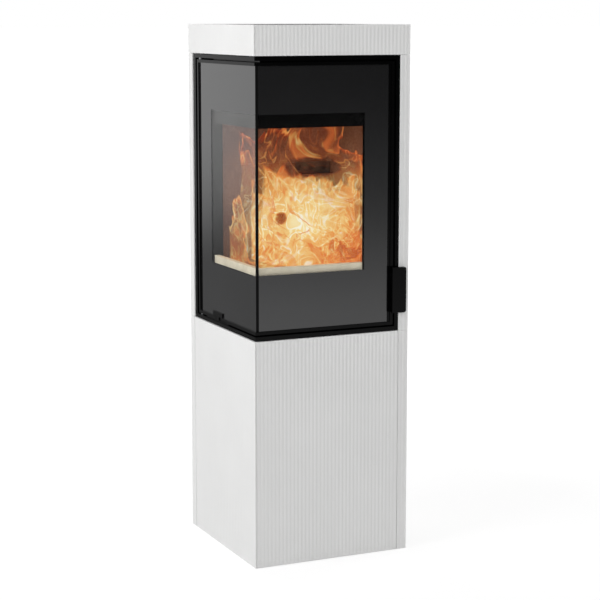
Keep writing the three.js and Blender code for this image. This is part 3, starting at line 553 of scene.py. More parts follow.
# %% [markdown]
# ## Building in mesh code
# Each new piece starts as a plan outline raised between two levels. We could pull ready-made
# boxes into shape, but a fluted wall is all outline. Nothing cast or folded has knife edges, so
# the raised body gets a small slope round its top and bottom. Holes are cut with a boolean, and
# shading is smooth except where two faces meet at a real edge.

# %% Pieces and their shading
SHARP, ROUNDED = math.radians(32), math.radians(40)


def as_piece(name, mesh, finish, body, *replaced, slot=None):
    """Links a mesh as a piece that rides on a body and stands for plain solids."""
    piece = bpy.data.objects.new(name, mesh)
    scene.collection.objects.link(piece)
    if finish:
        mesh.materials.append(finish)
    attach(piece, body)
    if replaced:
        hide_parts(*replaced)
    return piece


def soften(mesh):
    """Smooth shading that stops at real edges."""
    mesh.shade_smooth()
    mesh.set_sharp_from_angle(angle=SHARP)


def round_edges(piece, width):
    """Rounds a piece's real edges by width mm."""
    bevel = piece.modifiers.new("edge", "BEVEL")
    bevel.width = width * MM
    bevel.segments = 2
    bevel.limit_method = "ANGLE"
    bevel.angle_limit = ROUNDED
    bevel.harden_normals = True


print("shading breaks above", round(math.degrees(SHARP)), "degrees")


# %% Work on an outline
SQUARE_BELOW = 100
LEAST_MITER = 0.5


def inset_outline(points, inset):
    """Moves each edge of a closed plan outline inwards by inset. A very sharp corner moves no
    further than the least miter allows."""
    count = len(points)
    after = [points[(i + 1) % count] for i in range(count)]
    area = sum(p[0] * q[1] - q[0] * p[1] for p, q in zip(points, after))
    side = 1 if area > 0 else -1
    moved = []
    for i, point in enumerate(points):
        arriving = (Vector(point) - Vector(points[i - 1])).normalized()
        leaving = (Vector(after[i]) - Vector(point)).normalized()
        miter = (Vector((-arriving.y, arriving.x)) + Vector((-leaving.y, leaving.x))) * side
        reach = 2 * inset / max(miter.length_squared, LEAST_MITER)
        moved.append(Vector(point) + miter * reach)
    return moved


def cut_corners(points, size):
    """Replaces each square corner of an outline by a small slope."""
    made = []
    for i, point in enumerate(points):
        point = Vector(point)
        to_before = Vector(points[i - 1]) - point
        to_after = Vector(points[(i + 1) % len(points)]) - point
        if math.degrees(to_before.angle(to_after)) < SQUARE_BELOW:
            made.append(point + to_before.normalized() * min(size, to_before.length / 2))
            made.append(point + to_after.normalized() * min(size, to_after.length / 2))
        else:
            made.append(point)
    return made


tile = [(0, 0), (9, 0), (9, 9), (0, 9)]
print("a square with its corners cut has", len(cut_corners(tile, 1)), "points")


# %% Raise a body from its outline
def finished_mesh(name, mesh):
    """Turns a mesh in the making into one that a piece can carry."""
    data = bpy.data.meshes.new(name)
    mesh.to_mesh(data)
    mesh.free()
    return data


def raised(name, outline, low, high, edge):
    """A closed body between two levels, its top and bottom edges sloped by edge. In mm."""
    small = inset_outline(outline, edge)
    rings = [(small, low), (outline, low + edge), (outline, high - edge), (small, high)]
    mesh = bmesh.new()
    loops = [[mesh.verts.new(at(p[0], p[1], level)) for p in ring] for ring, level in rings]
    count = len(outline)
    for below, above in zip(loops, loops[1:]):
        for i in range(count):
            j = (i + 1) % count
            mesh.faces.new((below[i], below[j], above[j], above[i]))
    mesh.faces.new(list(reversed(loops[0])))
    mesh.faces.new(loops[-1])
    bmesh.ops.recalc_face_normals(mesh, faces=mesh.faces)
    return finished_mesh(name, mesh)


print("raising helper:", raised.__name__)


# %% Cut one body with others
def stretched_cube(low, high):
    """A mesh in the making: a cube pulled to fill the box between two corners in metres."""
    mesh = bmesh.new()
    bmesh.ops.create_cube(mesh, size=1.0)
    for vert in mesh.verts:
        vert.co = Vector(low[k] + (vert.co[k] + 0.5) * (high[k] - low[k]) for k in range(3))
    return mesh


def block(low, high):
    """A plain cutting block between two corners in mm."""
    return finished_mesh("block", stretched_cube(at(*low), at(*high)))


def evaluated_mesh(thing):
    """The mesh that an object shows once its modifiers and curves are worked out."""
    bpy.context.view_layer.update()
    return bpy.data.meshes.new_from_object(
        thing.evaluated_get(bpy.context.evaluated_depsgraph_get()))


def carved(data, blocks):
    """The mesh with each block cut away."""
    body = bpy.data.objects.new("carving", data)
    scene.collection.objects.link(body)
    tools = []
    for tool_data in blocks:
        tool = bpy.data.objects.new("tool", tool_data)
        scene.collection.objects.link(tool)
        step = body.modifiers.new("cut", "BOOLEAN")
        step.operation = "DIFFERENCE"
        step.solver = "EXACT"
        step.object = tool
        tools.append(tool)
    made = evaluated_mesh(body)
    for extra in [body, *tools]:
        bpy.data.objects.remove(extra)
    return made


print("cutting helpers:", block.__name__, carved.__name__)

# %% [markdown]
# ## The fluted surround
# Four cast elements stand round the steel: two L-shaped ones make the base, one L-shaped one
# stands behind the door, and a ring closes the top. Their front and sides are fluted, with soft
# grooves a little under 12 mm apart. The plain solids have V-shaped grooves. A bump could fake
# round ones, but it fails along the top edge, where the grooves show in outline. So each groove
# becomes a smooth wave in the outline itself, and the light rolls over it without a crease.
#
# The base panels meet in butt joints near the front right and the rear left corner. The left
# face is seen at such a low angle that its joint has to be wider to show as the same fine line.
# A narrow, deep groove, which masons call a quirk, runs beside the front left corner.

# %% Flutes along one face
FLUTE_PITCH, FLUTE_WIDTH, FLUTE_DEPTH, FLUTE_STEPS = 11.7, 9.8, 0.55, 8
FLUTE_MARGIN = 0.4
QUIRK_START, QUIRK_SLOPE, QUIRK_WIDTH, QUIRK_DEPTH = 1.4, 0.6, 3.8, 3.2


def fluted_run(face, start, stop, quirk=False):
    """Points [along, into] on one face; a quirk is the narrow groove next to a corner."""
    count = round(face / FLUTE_PITCH)
    pitch = face / count
    run = [(start, 0.0)]
    if quirk:
        near = start + QUIRK_START
        run += [(near, 0.0), (near + QUIRK_SLOPE, QUIRK_DEPTH),
                (near + QUIRK_WIDTH - QUIRK_SLOPE, QUIRK_DEPTH), (near + QUIRK_WIDTH, 0.0)]
    for i in range(count):
        middle = (i + 0.5) * pitch
        room = FLUTE_WIDTH / 2 + FLUTE_MARGIN
        if middle - room > run[-1][0] and middle + room < stop:
            for k in range(FLUTE_STEPS + 1):
                phase = k / FLUTE_STEPS - 0.5
                wave = (1 + math.cos(2 * math.pi * phase)) / 2
                run.append((middle + FLUTE_WIDTH * phase, FLUTE_DEPTH * wave))
    run.append((stop, 0.0))
    return run


def front_run(start, stop, quirk=False):
    """Along the front face, from left to right."""
    return fluted_run(WIDTH, start, stop, quirk)


def right_run(start, stop):
    """Along the right face, from front to rear."""
    return [(WIDTH - into, along) for along, into in fluted_run(DEPTH, start, stop)]


def left_run(start, stop):
    """Along the left face, from rear to front."""
    return [(into, along) for along, into in reversed(fluted_run(DEPTH, start, stop))]


print("points on a fluted front:", len(front_run(0, WIDTH)))

# %% Plans of the cast elements
WALL = 30.0
JOINT, SIDE_JOINT = 1.2, 3.2
CORNER = 1.0
INNER_RIGHT, INNER_REAR = WIDTH - WALL, DEPTH - WALL
front_left_plan = cut_corners([
    *front_run(0, INNER_RIGHT - JOINT, quirk=True),
    (INNER_RIGHT - JOINT, WALL), (WALL, WALL), (WALL, INNER_REAR - SIDE_JOINT),
    *left_run(0, INNER_REAR - SIDE_JOINT)[:-1],
], CORNER)
rear_right_plan = cut_corners([
    *front_run(INNER_RIGHT, WIDTH)[:-1],
    *right_run(0, DEPTH),
    (0, DEPTH), (0, INNER_REAR), (INNER_RIGHT, INNER_REAR),
], CORNER)
ring_plan = cut_corners([
    *front_run(0, WIDTH, quirk=True)[:-1],
    *right_run(0, DEPTH),
    (0, DEPTH),
    *left_run(0, DEPTH)[1:-1],
], CORNER)
print("outline points:", len(front_left_plan), len(rear_right_plan), len(ring_plan))

# %% [markdown]
# ## Raising the cast elements
# Each element stands at the levels of its own solid. The rear base panel has a square notch at
# its foot, through which the air duct comes in. The top ring is hollow, with a ledge inside that
# carries the dark plate. Both could be left to the plain solids, but one body with cut holes
# keeps the flutes and the openings in the same piece of stone.

# %% Raise the panels
CAST_EDGE = 0.45
NOTCH_WIDTH, NOTCH_HEIGHT = 140.0, 140.0
PAST = 1


def levels_of(node):
    """The foot and the top of a solid, in mm."""
    low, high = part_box(node)
    return low.z / MM, high.z / MM


def cast_element(node, plan, blocks=()):
    """A cast element at its node's own levels, with blocks cut out."""
    low, high = levels_of(node)
    data = raised(node + "_cast", plan, low, high, CAST_EDGE)
    if blocks:
        data = carved(data, blocks)
    soften(data)
    piece = as_piece(node + "_cast", data, CAST, "stove", node, slot="cast_white")
    print(node, "faces:", len(data.polygons))
    return piece


notch_side = (WIDTH - NOTCH_WIDTH) / 2
notch = block((notch_side, INNER_REAR - PAST, -PAST),
              (WIDTH - notch_side, DEPTH + PAST, NOTCH_HEIGHT))
cast_element("base_panel_front_left", front_left_plan)
cast_element("base_panel_rear_right", rear_right_plan, [notch])
cast_element("mid_panel_rear_right", rear_right_plan)

# %% Raise the top ring
LEDGE = 22.0
LEDGE_PLAY = 0.3
plate_low = levels_of("top_plate")[0]
ring_low, ring_high = levels_of("top_surround")
well = block((WALL, WALL, ring_low - PAST), (INNER_RIGHT, INNER_REAR, ring_high + PAST))
rebate = block((LEDGE, LEDGE, plate_low - LEDGE_PLAY),
               (WIDTH - LEDGE, DEPTH - LEDGE, ring_high + PAST))
cast_element("top_surround", ring_plan, [well, rebate])
print("ledge of the top ring at", round(plate_low - LEDGE_PLAY, 1), "mm")

# %% [markdown]
# ## The black frame and what is inside
# The frame, the handle, the air slide and the whole inside are right as they are, so they keep
# their solids. We could rebuild them with rounded edges, but a bevel modifier rounds them by
# about half a millimetre just as well. That is what lets folded steel catch a thin line of
# light, and what takes the machine-cut look off boards and bars.

# %% Dress the solids that stay
def dress(node, finish, edge=0.0):
    """Gives a solid its finish, and rounds its edges by edge mm."""
    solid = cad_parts[node]
    solid.data.materials.clear()
    solid.data.materials.append(finish)
    if edge:
        round_edges(solid, edge)


KEPT_SOLIDS = {
    BLACK: {"insert_frame": 0.4, "handle": 1.0, "air_slide": 0.4, "firebox_face": 0.4,
            "air_wash_bar": 0.5},
    SOOTY: {"rear_air_bar": 0.4},
    FURNACE: {"top_plate": 0.5, "flue_collar": 0.0, "rear_outlet_cover": 0.0,
              "firebox_shell": 0.0, "top_carrier": 0.0, "stand_frame": 1.0,
              "baffle_rail_left": 0.8, "baffle_rail_right": 0.8},
    IRON: {"grate": 1.0},
    BAR: {"log_retainer_front": 1.2, "log_retainer_side": 1.2},
    BOARD: dict.fromkeys((
        "side_lining", "back_lining_left", "back_lining_right", "back_lining_upper",
        "floor_lining_front", "floor_lining_rear", "floor_lining_left", "floor_lining_right",
        "lower_baffle", "upper_baffle"), 1.0),
    ZINC: {"ash_pan": 0.0, "air_inlet_spigot": 0.0, "heat_shield_rear": 0.0,
           "heat_shield_side": 0.0, "strike_plate": 0.4, "catch_roller": 0.4, "catch_pin": 0.0,
           "catch_bracket": 0.0, "hinge_pin_lower": 0.0, "hinge_pin_upper": 0.0},
    ROPE: {"corner_seal": 0.0},
}
for finish, solids in KEPT_SOLIDS.items():
    for node, edge in solids.items():
        dress(node, finish, edge)
    print(finish.name, "on", len(solids))

# %% Dress the small ironmongery
BRACKET_EDGE = 0.3
small_parts = [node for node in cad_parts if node.startswith(
    ("corner_bracket", "level_bracket", "levelling_foot", "glass_strip"))]
for node in small_parts:
    dress(node, ZINC, BRACKET_EDGE if "bracket" in node else 0.0)
print("small parts in zinc:", len(small_parts))

# %% [markdown]
# ## The step in the door frame
# The door's two stiles have a step that the solid leaves out: the outer 9 mm stand proud of a
# recessed border that frames the glass. A dark painted line would not turn with the light, so
# we cut the step into a copy of the solid, one block for each stile.

# %% Cut the step into the door frame
STILE, PROUD, STEP, RAIL = 16.5, 9.2, 2.4, 9.0
DOOR_EDGE = 0.4
door_low, door_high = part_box("door_frame")
door_x, door_y = (door_high.x - LEFT) / MM, (door_high.y - FRONT) / MM
face = (door_low.y - FRONT) / MM
foot, head = door_low.z / MM + RAIL, door_high.z / MM - RAIL
steps = [
    block((door_x - STILE - PAST, face - PAST, foot), (door_x - PROUD, face + STEP, head)),
    block((face - PAST, door_y - STILE - PAST, foot), (face + STEP, door_y - PROUD, head)),
]
door_mesh = carved(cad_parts["door_frame"].data.copy(), steps)
door_mesh.materials.clear()
door = as_piece("door_frame_stepped", door_mesh, BLACK, "door", "door_frame", slot="black_steel")
round_edges(door, DOOR_EDGE)
print("door faces:", len(door_mesh.polygons))

# %% [markdown]
# ## The glass
# Both panes are 4 mm ceramic glass with a grey enamel border fired on. Real enamel sits on the
# back, under the shine of the glass. Two layers in the mesh would fight for the same place, so
# the finish itself has two: a dark base with a clear coat. The window is left clear. A pane is
# one closed sheet: a block sliced along the window's edges, whose window faces get the clear
# finish and whose other faces get the enamel. At the corner a black silicone joint fills the
# gap between the panes.

# %% Clear glass
WINDOW_IOR = 1.19
SHADOW_GLASS = (0.85, 0.85, 0.85, 1)


def make_window():
    """Clear ceramic glass with a breath of smoke; lamps shine through it. Its low index keeps
    its two surfaces from mirroring more of the room than the single surface of the enamel."""
    finish, tree, shader = new_finish(
        "clear_ceramic_glass", Roughness=0.0, IOR=WINDOW_IOR, Transmission_Weight=1.0)
    haze = speckle(tree, 6.0, 4.0).outputs["Fac"]
    drive(tree, shader, Base_Color=blend_stops(tree, haze, [
        (0.3, (0.86, 0.86, 0.85)), (0.7, (0.94, 0.94, 0.93))]))
    through = put(tree, "BsdfTransparent", sockets={"Color": SHADOW_GLASS})
    path = put(tree, "LightPath")
    both = put(tree, "MixShader", sockets={
        0: path.outputs["Is Shadow Ray"], 1: shader.outputs[0], 2: through.outputs[0]})
    out = next(n for n in tree.nodes if n.type == "OUTPUT_MATERIAL")
    tree.links.new(both.outputs[0], out.inputs["Surface"])
    return finish


WINDOW = make_window()
print("finish:", WINDOW.name)


# %% Grey enamel and black silicone
def make_enamel():
    """Dull grey under a clear coat that carries a faint film."""
    finish, tree, shader = new_finish(
        "grey_enamel", Specular_IOR_Level=0.0, Roughness=0.6, Coat_Weight=1.0, Coat_IOR=1.5)
    clouds = speckle(tree, 3.0, 2.0).outputs["Fac"]
    film = speckle(tree, 30.0, 5.0).outputs["Fac"]
    stops = [(0.3, (0.008, 0.008, 0.0085)), (0.7, (0.0125, 0.0125, 0.013))]
    drive(tree, shader, Base_Color=blend_stops(tree, clouds, stops),
          Coat_Roughness=spread(tree, film, 0.03, 0.12))
    return finish


ENAMEL = make_enamel()
SILICONE = make_coat("black_silicone", (0.0012, 0.0012, 0.0012), (0.0022, 0.0022, 0.0022),
                     0.1, (0.5, 0.7), 300.0, 0.00005)
print("finishes:", ENAMEL.name, SILICONE.name)

# %% Where the window is
# These are in metres.
WINDOW_LEVELS = (0.836, 1.281)
WINDOW_RIGHT, WINDOW_REAR = at(341, 0, 0).x, at(0, 334, 0).y
print("window:", round(WINDOW_LEVELS[1] - WINDOW_LEVELS[0], 3), "m high")

# %% Slice the panes
# The lengths are in metres. The last line says when a face counts as broadside or forward.
PANE_EDGE, SILICONE_WIDTH, SLIVER = 0.0004, 0.0042, 0.001
CLEAR, GREY, SEALED = range(3)
BROADSIDE, FORWARD = 0.99, -0.5


def slice_at(mesh, axis, value):
    """Cuts new edges into a mesh where it crosses one level of one axis."""
    point, normal = Vector((0, 0, 0)), Vector((0, 0, 0))
    point[axis] = value
    normal[axis] = 1.0
    bmesh.ops.bisect_plane(mesh, geom=mesh.verts[:] + mesh.edges[:] + mesh.faces[:],
                           plane_co=point, plane_no=normal, dist=1e-6)


def sliced_pane(node, across, window_span):
    """A pane that fills its node's box. Across is 0 for the front pane, whose window spans x,
    and 1 for the side pane, whose window spans y. The span is in metres."""
    low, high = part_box(node)
    mesh = stretched_cube(low, high)
    bmesh.ops.bevel(mesh, geom=mesh.edges[:], offset=PANE_EDGE, segments=1, affect="EDGES")
    corner = low[across] + (SILICONE_WIDTH if across == 0 else 0.0)
    cuts = [(across, value) for value in (*window_span, corner)] + [(2, v) for v in WINDOW_LEVELS]
    for axis, value in cuts:
        if low[axis] + SLIVER < value < high[axis] - SLIVER:
            slice_at(mesh, axis, value)
    through = 1 - across
    for face in mesh.faces:
        middle = face.calc_center_median()
        broad = abs(face.normal[through]) > BROADSIDE
        inside = (window_span[0] < middle[across] < window_span[1]
                  and WINDOW_LEVELS[0] < middle.z < WINDOW_LEVELS[1])
        by_corner = middle[across] < corner or (across == 1 and face.normal.y < FORWARD)
        face.material_index = SEALED if by_corner else CLEAR if broad and inside else GREY
    data = finished_mesh(node + "_pane", mesh)
    for finish in (WINDOW, ENAMEL, SILICONE):
        data.materials.append(finish)
    return as_piece(node + "_pane", data, None, "door", node, slot="smoked_glass")


front_pane = sliced_pane("front_glass", 0, (LEFT, WINDOW_RIGHT))
side_pane = sliced_pane("side_glass", 1, (FRONT, WINDOW_REAR))
print("pane faces:", len(front_pane.data.polygons), len(side_pane.data.polygons))

# %% [markdown]
# ## The door's rope seal
# The door closes on a rope of braided glass fibre, pressed into a channel all round its back.
# The solid stands in with square strips, and their corners could be rounded, but a real rope
# turns its corners softly too. So we draw its path as one closed curve and give the curve a
# round section.

# %% Rope on a rounded path
# Lengths here are in metres.
ROPE_RADIUS, ROPE_TURN, TURN_STEPS = 0.0037, 0.006, 5
ROPE_INSET = Vector((0.0039, 0.0039, 0.004))
ROPE_FAR_INSET = Vector((0.004, 0.004, 0.004))


def rounded_path(points, radius, steps):
    """A closed run of points whose corners are arcs."""
    path = []
    for i, point in enumerate(points):
        before = (points[i - 1] - point).normalized()
        after = (points[(i + 1) % len(points)] - point).normalized()
        start, end = point + before * radius, point + after * radius
        for k in range(steps + 1):
            t = k / steps
            path.append(start.lerp(point, t).lerp(point.lerp(end, t), t))
    return path


seal_low, seal_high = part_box("door_seal")
near, far = Vector(seal_low) + ROPE_INSET, Vector(seal_high) - ROPE_FAR_INSET
rope_path = rounded_path([Vector(p) for p in [
    (far.x, near.y, near.z), (near.x, near.y, near.z), (near.x, far.y, near.z),
    (near.x, far.y, far.z), (near.x, near.y, far.z), (far.x, near.y, far.z)]],
    ROPE_TURN, TURN_STEPS)
print("rope points:", len(rope_path))

# %% Give the path a round section
curve = bpy.data.curves.new("door_rope", "CURVE")
curve.dimensions = "3D"
curve.bevel_depth = ROPE_RADIUS
curve.bevel_resolution = 3
line = curve.splines.new("POLY")
line.points.add(len(rope_path) - 1)
for point, place in zip(line.points, rope_path):
    point.co = (*place, 1.0)
line.use_cyclic_u = True
rope_source = bpy.data.objects.new("rope_source", curve)
scene.collection.objects.link(rope_source)
rope_mesh = evaluated_mesh(rope_source)
bpy.data.objects.remove(rope_source)
rope_mesh.shade_smooth()
rope_mesh.materials.clear()
as_piece("door_rope", rope_mesh, ROPE, "door", "door_seal", slot="seal_rope")
print("rope faces:", len(rope_mesh.polygons))

# %% [markdown]
# ## The fire
# A stove in a catalogue is always lit. Flame is a thin glowing skin of gas, folded over and
# over: bright along its folds, clear between them. A volume of glowing fog would be the true
# way, but it is slow and comes out soft. So we hang four wavy sheets one behind the other,
# following the two panes round the corner. Their glow and their gaps come from noise that is
# stretched upwards and stirred by slower noise, and both thin out towards the top.

# %% Where the fire burns
FIRE_LOW, FIRE_HIGH = 0.838, 1.285
FIRE_CORE = (at(215, 0, 0).x, 0, 0.99)
REAR_FADE = at(0, 322, 0).y, at(0, 302, 0).y
FLAME_STOPS = [
    (0.00, (0.07, 0.014, 0.008)), (0.18, (0.33, 0.050, 0.016)), (0.36, (0.76, 0.17, 0.040)),
    (0.55, (0.88, 0.38, 0.095)), (0.75, (0.97, 0.68, 0.26)), (0.90, (1.0, 0.87, 0.52)),
    (1.00, (1.0, 0.96, 0.80)),
]
print("flame height:", round(FIRE_HIGH - FIRE_LOW, 3), "m")


# %% Stirred gas, its folds and its threads
def stir(tree, where, swirls):
    """Bends a field of places by slower noise, as hot gas is bent by its own rising."""
    for scale, amount in swirls:
        swirl = speckle(tree, scale, 1.0, where=where).outputs["Color"]
        centred = put(tree, "VectorMath", {"operation": "SUBTRACT"}, {
            0: swirl, 1: (0.5, 0.5, 0.5)}).outputs[0]
        step = put(tree, "VectorMath", {"operation": "SCALE"}, {0: centred, "Scale": amount})
        where = put(tree, "VectorMath", {"operation": "ADD"}, {
            0: where, 1: step.outputs[0]}).outputs[0]
    return where


def saw(tree, where, scale, detail, turns):
    """Climbs from 0 to 1 again and again as a smooth field passes evenly spaced levels."""
    field = speckle(tree, scale, detail, where=where).outputs["Fac"]
    return calc(tree, "FRACT", times(tree, field, turns))


FOLD_EDGE = 0.14


def fold(tree, where, scale, turns, fall):
    """One set of folds: each has a sharp bright edge and dims away from it on one side."""
    teeth = saw(tree, where, scale, 0.6, turns)
    dimming = calc(tree, "POWER", minus(tree, 1.0, teeth), fall)
    return times(tree, ease(tree, teeth, 0.0, FOLD_EDGE), dimming)


def thread(tree, where, scale, turns, width):
    """Thin bright lines, as wide as width on both sides of each level."""
    teeth = saw(tree, where, scale, 0.8, turns)
    return ease(tree, calc(tree, "ABSOLUTE", minus(tree, teeth, 0.5)), width, 0.0)


print("flame helpers:", stir.__name__, fold.__name__, thread.__name__)

# %% [markdown]
# ## Air jets through the flame
# Fresh air blows out of the dark slot at the upper right of the back wall, and a little comes
# through the finger hole lower down. It pushes the burning gas aside and chills it, so both
# holes show through the fire. We could hang the sheets round them, but noise can't be steered
# like that. Instead each sheet is thinned and cooled inside an oval that starts at the hole and
# drifts left and up as it comes forward, so that it still covers the hole from where we stand.

# %% Two jets
WALL_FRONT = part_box("back_lining_left")[0].y
JET_DRIFT, JET_LIFT = 0.455, 0.11
JET_HEART, JET_RIM = 0.7, 1.2
SLOT_JET = {"x": 0.090, "z": 1.102, "wide": 0.082, "tall": 0.030, "least": 0.0}
HOLE_JET = {"x": -0.0143, "z": 0.957, "wide": 0.019, "tall": 0.019, "least": 0.32}
LICK_SCALE, LICK_REACH = 26.0, 1.2


def blown_thin(tree, axes, jet, ragged=0.0):
    """How much gas is left, from least inside a jet's oval to 1 outside it."""
    run = minus(tree, WALL_FRONT, axes.outputs["Y"])
    across = plus(tree, axes.outputs["X"], times(tree, run, JET_DRIFT))
    across = calc(tree, "DIVIDE", minus(tree, across, jet["x"]), jet["wide"])
    up = minus(tree, axes.outputs["Z"], times(tree, run, JET_LIFT))
    up = calc(tree, "DIVIDE", minus(tree, up, jet["z"]), jet["tall"])
    far = calc(tree, "SQRT", plus(tree, times(tree, across, across), times(tree, up, up)))
    return ease(tree, plus(tree, far, ragged), JET_HEART, JET_RIM, jet["least"])


def gas_left(tree, axes, stirred):
    """What both jets leave. The wide one has a ragged edge that flames lick over."""
    licks = speckle(tree, LICK_SCALE, 1.0, where=stirred).outputs["Fac"]
    ragged = times(tree, minus(tree, licks, 0.5), LICK_REACH)
    return times(tree, blown_thin(tree, axes, SLOT_JET, ragged),
                 blown_thin(tree, axes, HOLE_JET))


print("jets start at", round((WALL_FRONT - FRONT) / MM), "mm from the front")

# %% [markdown]
# ## Flame finish
# A flame's outline and its glow are two questions. Its outline follows a depth: how far a spot
# lies inside the burning gas, from the height it has climbed and from the tongues that noise
# gives it. Its glow rises with that depth and along rims, folds and threads. It falls where
# embers burn red at the lower right, near the top, and in the jets. One ramp of colours then
# turns glow into deep red, orange, yellow and nearly white. Using one noise for both questions
# would be shorter, but then every bright spot would be a solid one.

# %% How solid the gas is
SKIN_SPAN, BODY_SPAN = (0.0, 0.03), (0.06, 0.35)
STRANDS_LEFT = 0.26


def flame_depth(tree, axes, stirred, crown, reach):
    """How far a spot lies inside the burning gas: above 0 inside, below 0 outside."""
    fill = speckle(tree, 6.0, 1.5, where=stirred).outputs["Fac"]
    climbed = ramp(tree, axes.outputs["Z"], FIRE_LOW, FIRE_HIGH)
    tongues = times(tree, minus(tree, fill, 0.5), reach)
    return plus(tree, minus(tree, crown, climbed), tongues)


def flame_cover(tree, axes, depth, lines, left, veil, body):
    """How solid the sheet is: veil to body inside, more along lines, nothing outside. The
    jets clear the body away, but a few strands stay in front of them."""
    skin = times(tree, ease(tree, depth, *SKIN_SPAN), ease(tree, axes.outputs["Y"], *REAR_FADE))
    solid = times(tree, ramp(tree, depth, *BODY_SPAN, veil, body), left)
    strands_left = plus(tree, times(tree, left, 1 - STRANDS_LEFT), STRANDS_LEFT)
    strands = times(tree, lines, strands_left)
    return calc(tree, "MULTIPLY", skin, calc(tree, "MAXIMUM", solid, strands), clamp=True)


print("cover helpers:", flame_depth.__name__, flame_cover.__name__)


# %% How hot the gas glows
CORE_SPAN, CORE_GAIN, CORE_LOSS = (0.04, 0.20), 0.14, 0.06
HEAT_SPAN, LEAST_HEAT = (-0.05, 0.30), 0.12
EMBERS_RIGHT, EMBERS_LOW, EMBER_LOSS = (-0.10, 0.06), (0.97, 0.88), 0.22
TOP_SPAN, TOP_LOSS = (1.06, 1.22), 0.26
JET_LOSS = 0.6


def flame_heat(tree, place, axes, depth, left, warmth):
    """Glow before the bright lines: hottest deep in the gas and near the fire's core."""
    flat = put(tree, "Mapping", sockets={"Vector": place, "Scale": (1, 0, 1)}).outputs[0]
    reach = put(tree, "VectorMath", {"operation": "DISTANCE"}, {
        0: flat, 1: FIRE_CORE}).outputs["Value"]
    core = ease(tree, reach, *CORE_SPAN, warmth + CORE_GAIN, warmth - CORE_LOSS)
    heat = ease(tree, depth, *HEAT_SPAN, LEAST_HEAT, core)
    right = ease(tree, axes.outputs["X"], *EMBERS_RIGHT)
    low = ease(tree, axes.outputs["Z"], *EMBERS_LOW)
    embers = times(tree, times(tree, right, low), EMBER_LOSS)
    cool = ease(tree, axes.outputs["Z"], *TOP_SPAN, 0.0, TOP_LOSS)
    chilled = times(tree, minus(tree, 1.0, left), JET_LOSS)
    return minus(tree, heat, plus(tree, chilled, plus(tree, embers, cool)))


print("heat helper:", flame_heat.__name__)


# %% Make a flame skin
STRETCH = (1, 0.45, 0.8)
SWIRLS = ((4.5, 0.26), (12.0, 0.10), (34.0, 0.028))
# Scale and turns come first, then the fall of the folds or the width of the threads.
FOLDS, THREADS, FINE_THREADS = (8.0, 4.0, 2.6), (15.0, 4.0, 0.15), (34.0, 4.0, 0.22)
RIM_SPAN, RIM_FALL = (0.26, 0.01), 1.7
SOLID = {"folds": 0.85, "threads": 0.4, "rim": 0.8}
BRIGHT = {"rim": 0.26, "folds": 0.26, "threads": 0.24, "fine threads": 0.20}


def make_flame(name, seed, crown, reach, veil, body, warmth):
    """Glowing gas. Crown is how high it is dense, as a share of the window, reach how far its
    tongues go above and below that, veil how solid its thin parts are, body how solid it gets
    below them, and warmth how much it glows where nothing is folded."""
    finish, tree, shader = new_finish(
        name, Base_Color=(0, 0, 0, 1), Roughness=1.0, Specular_IOR_Level=0.0,
        Emission_Strength=1.0)
    place = put(tree, "TexCoord").outputs["Object"]
    axes = put(tree, "SeparateXYZ", sockets={"Vector": place})
    moved = put(tree, "Mapping", sockets={
        "Vector": place, "Location": (seed, seed * 0.7, seed * 1.3), "Scale": STRETCH}).outputs[0]
    stirred = stir(tree, moved, SWIRLS)
    large = fold(tree, stirred, *FOLDS)
    middle = thread(tree, stirred, *THREADS)
    fine = thread(tree, stirred, *FINE_THREADS)
    left = gas_left(tree, axes, stirred)
    depth = flame_depth(tree, axes, stirred, crown, reach)
    rim = calc(tree, "POWER", ease(tree, depth, *RIM_SPAN), RIM_FALL)
    lines = calc(tree, "MAXIMUM", times(tree, large, SOLID["folds"]),
                 times(tree, middle, SOLID["threads"]))
    lines = calc(tree, "MAXIMUM", times(tree, rim, SOLID["rim"]), lines)
    glow = flame_heat(tree, place, axes, depth, left, warmth)
    for part, share in zip((rim, large, middle, fine), BRIGHT.values()):
        glow = plus(tree, glow, times(tree, part, share))
    glow = calc(tree, "MINIMUM", glow, 1.0)
    drive(tree, shader, Emission_Color=blend_stops(tree, glow, FLAME_STOPS),
          Alpha=flame_cover(tree, axes, depth, lines, left, veil, body))
    return finish


FLAME_SKINS = {
    "near": make_flame("flame_skin_near", 6.4, 0.36, 2.0, 0.10, 0.65, 0.50),
    "middle": make_flame("flame_skin_middle", 2.3, 0.84, 3.4, 0.03, 0.20, 0.48),
    "back": make_flame("flame_skin_back", 5.2, 0.55, 0.9, 0.3, 1.0, 0.54),
    "far": make_flame("flame_skin_far", 9.4, 0.58, 0.6, 0.7, 1.0, 0.56),
}
print("flame skins:", ", ".join(FLAME_SKINS))

# %% [markdown]
# ## Flame sheets
# Each sheet stands upright at its own distance behind the panes and turns the corner with them.
# A flat sheet would give itself away from the side, so slow noise sways it and quicker noise
# ripples it, more and more towards the top, as a real flame is steady at its foot. The sheets
# stay clear of each other and of the chamber's walls.

# %% Waves, and a walk along the panes
CORNER_TURN, TURN_PARTS = 70.0, 6
COLUMNS = 90
SWAY = {"along": 0.012, "up": 7.0, "reach": 14.0, "shift": 0.0}
RIPPLE = {"along": 0.04, "up": 22.0, "reach": 5.0, "shift": 5.0}


def wave(along, z, phase, kind):
    """Smooth noise in mm, at its kind's pace along the sheet and up it."""
    spot = Vector((along * kind["along"], z * kind["up"], phase + kind["shift"]))
    return noise.noise(spot) * kind["reach"]


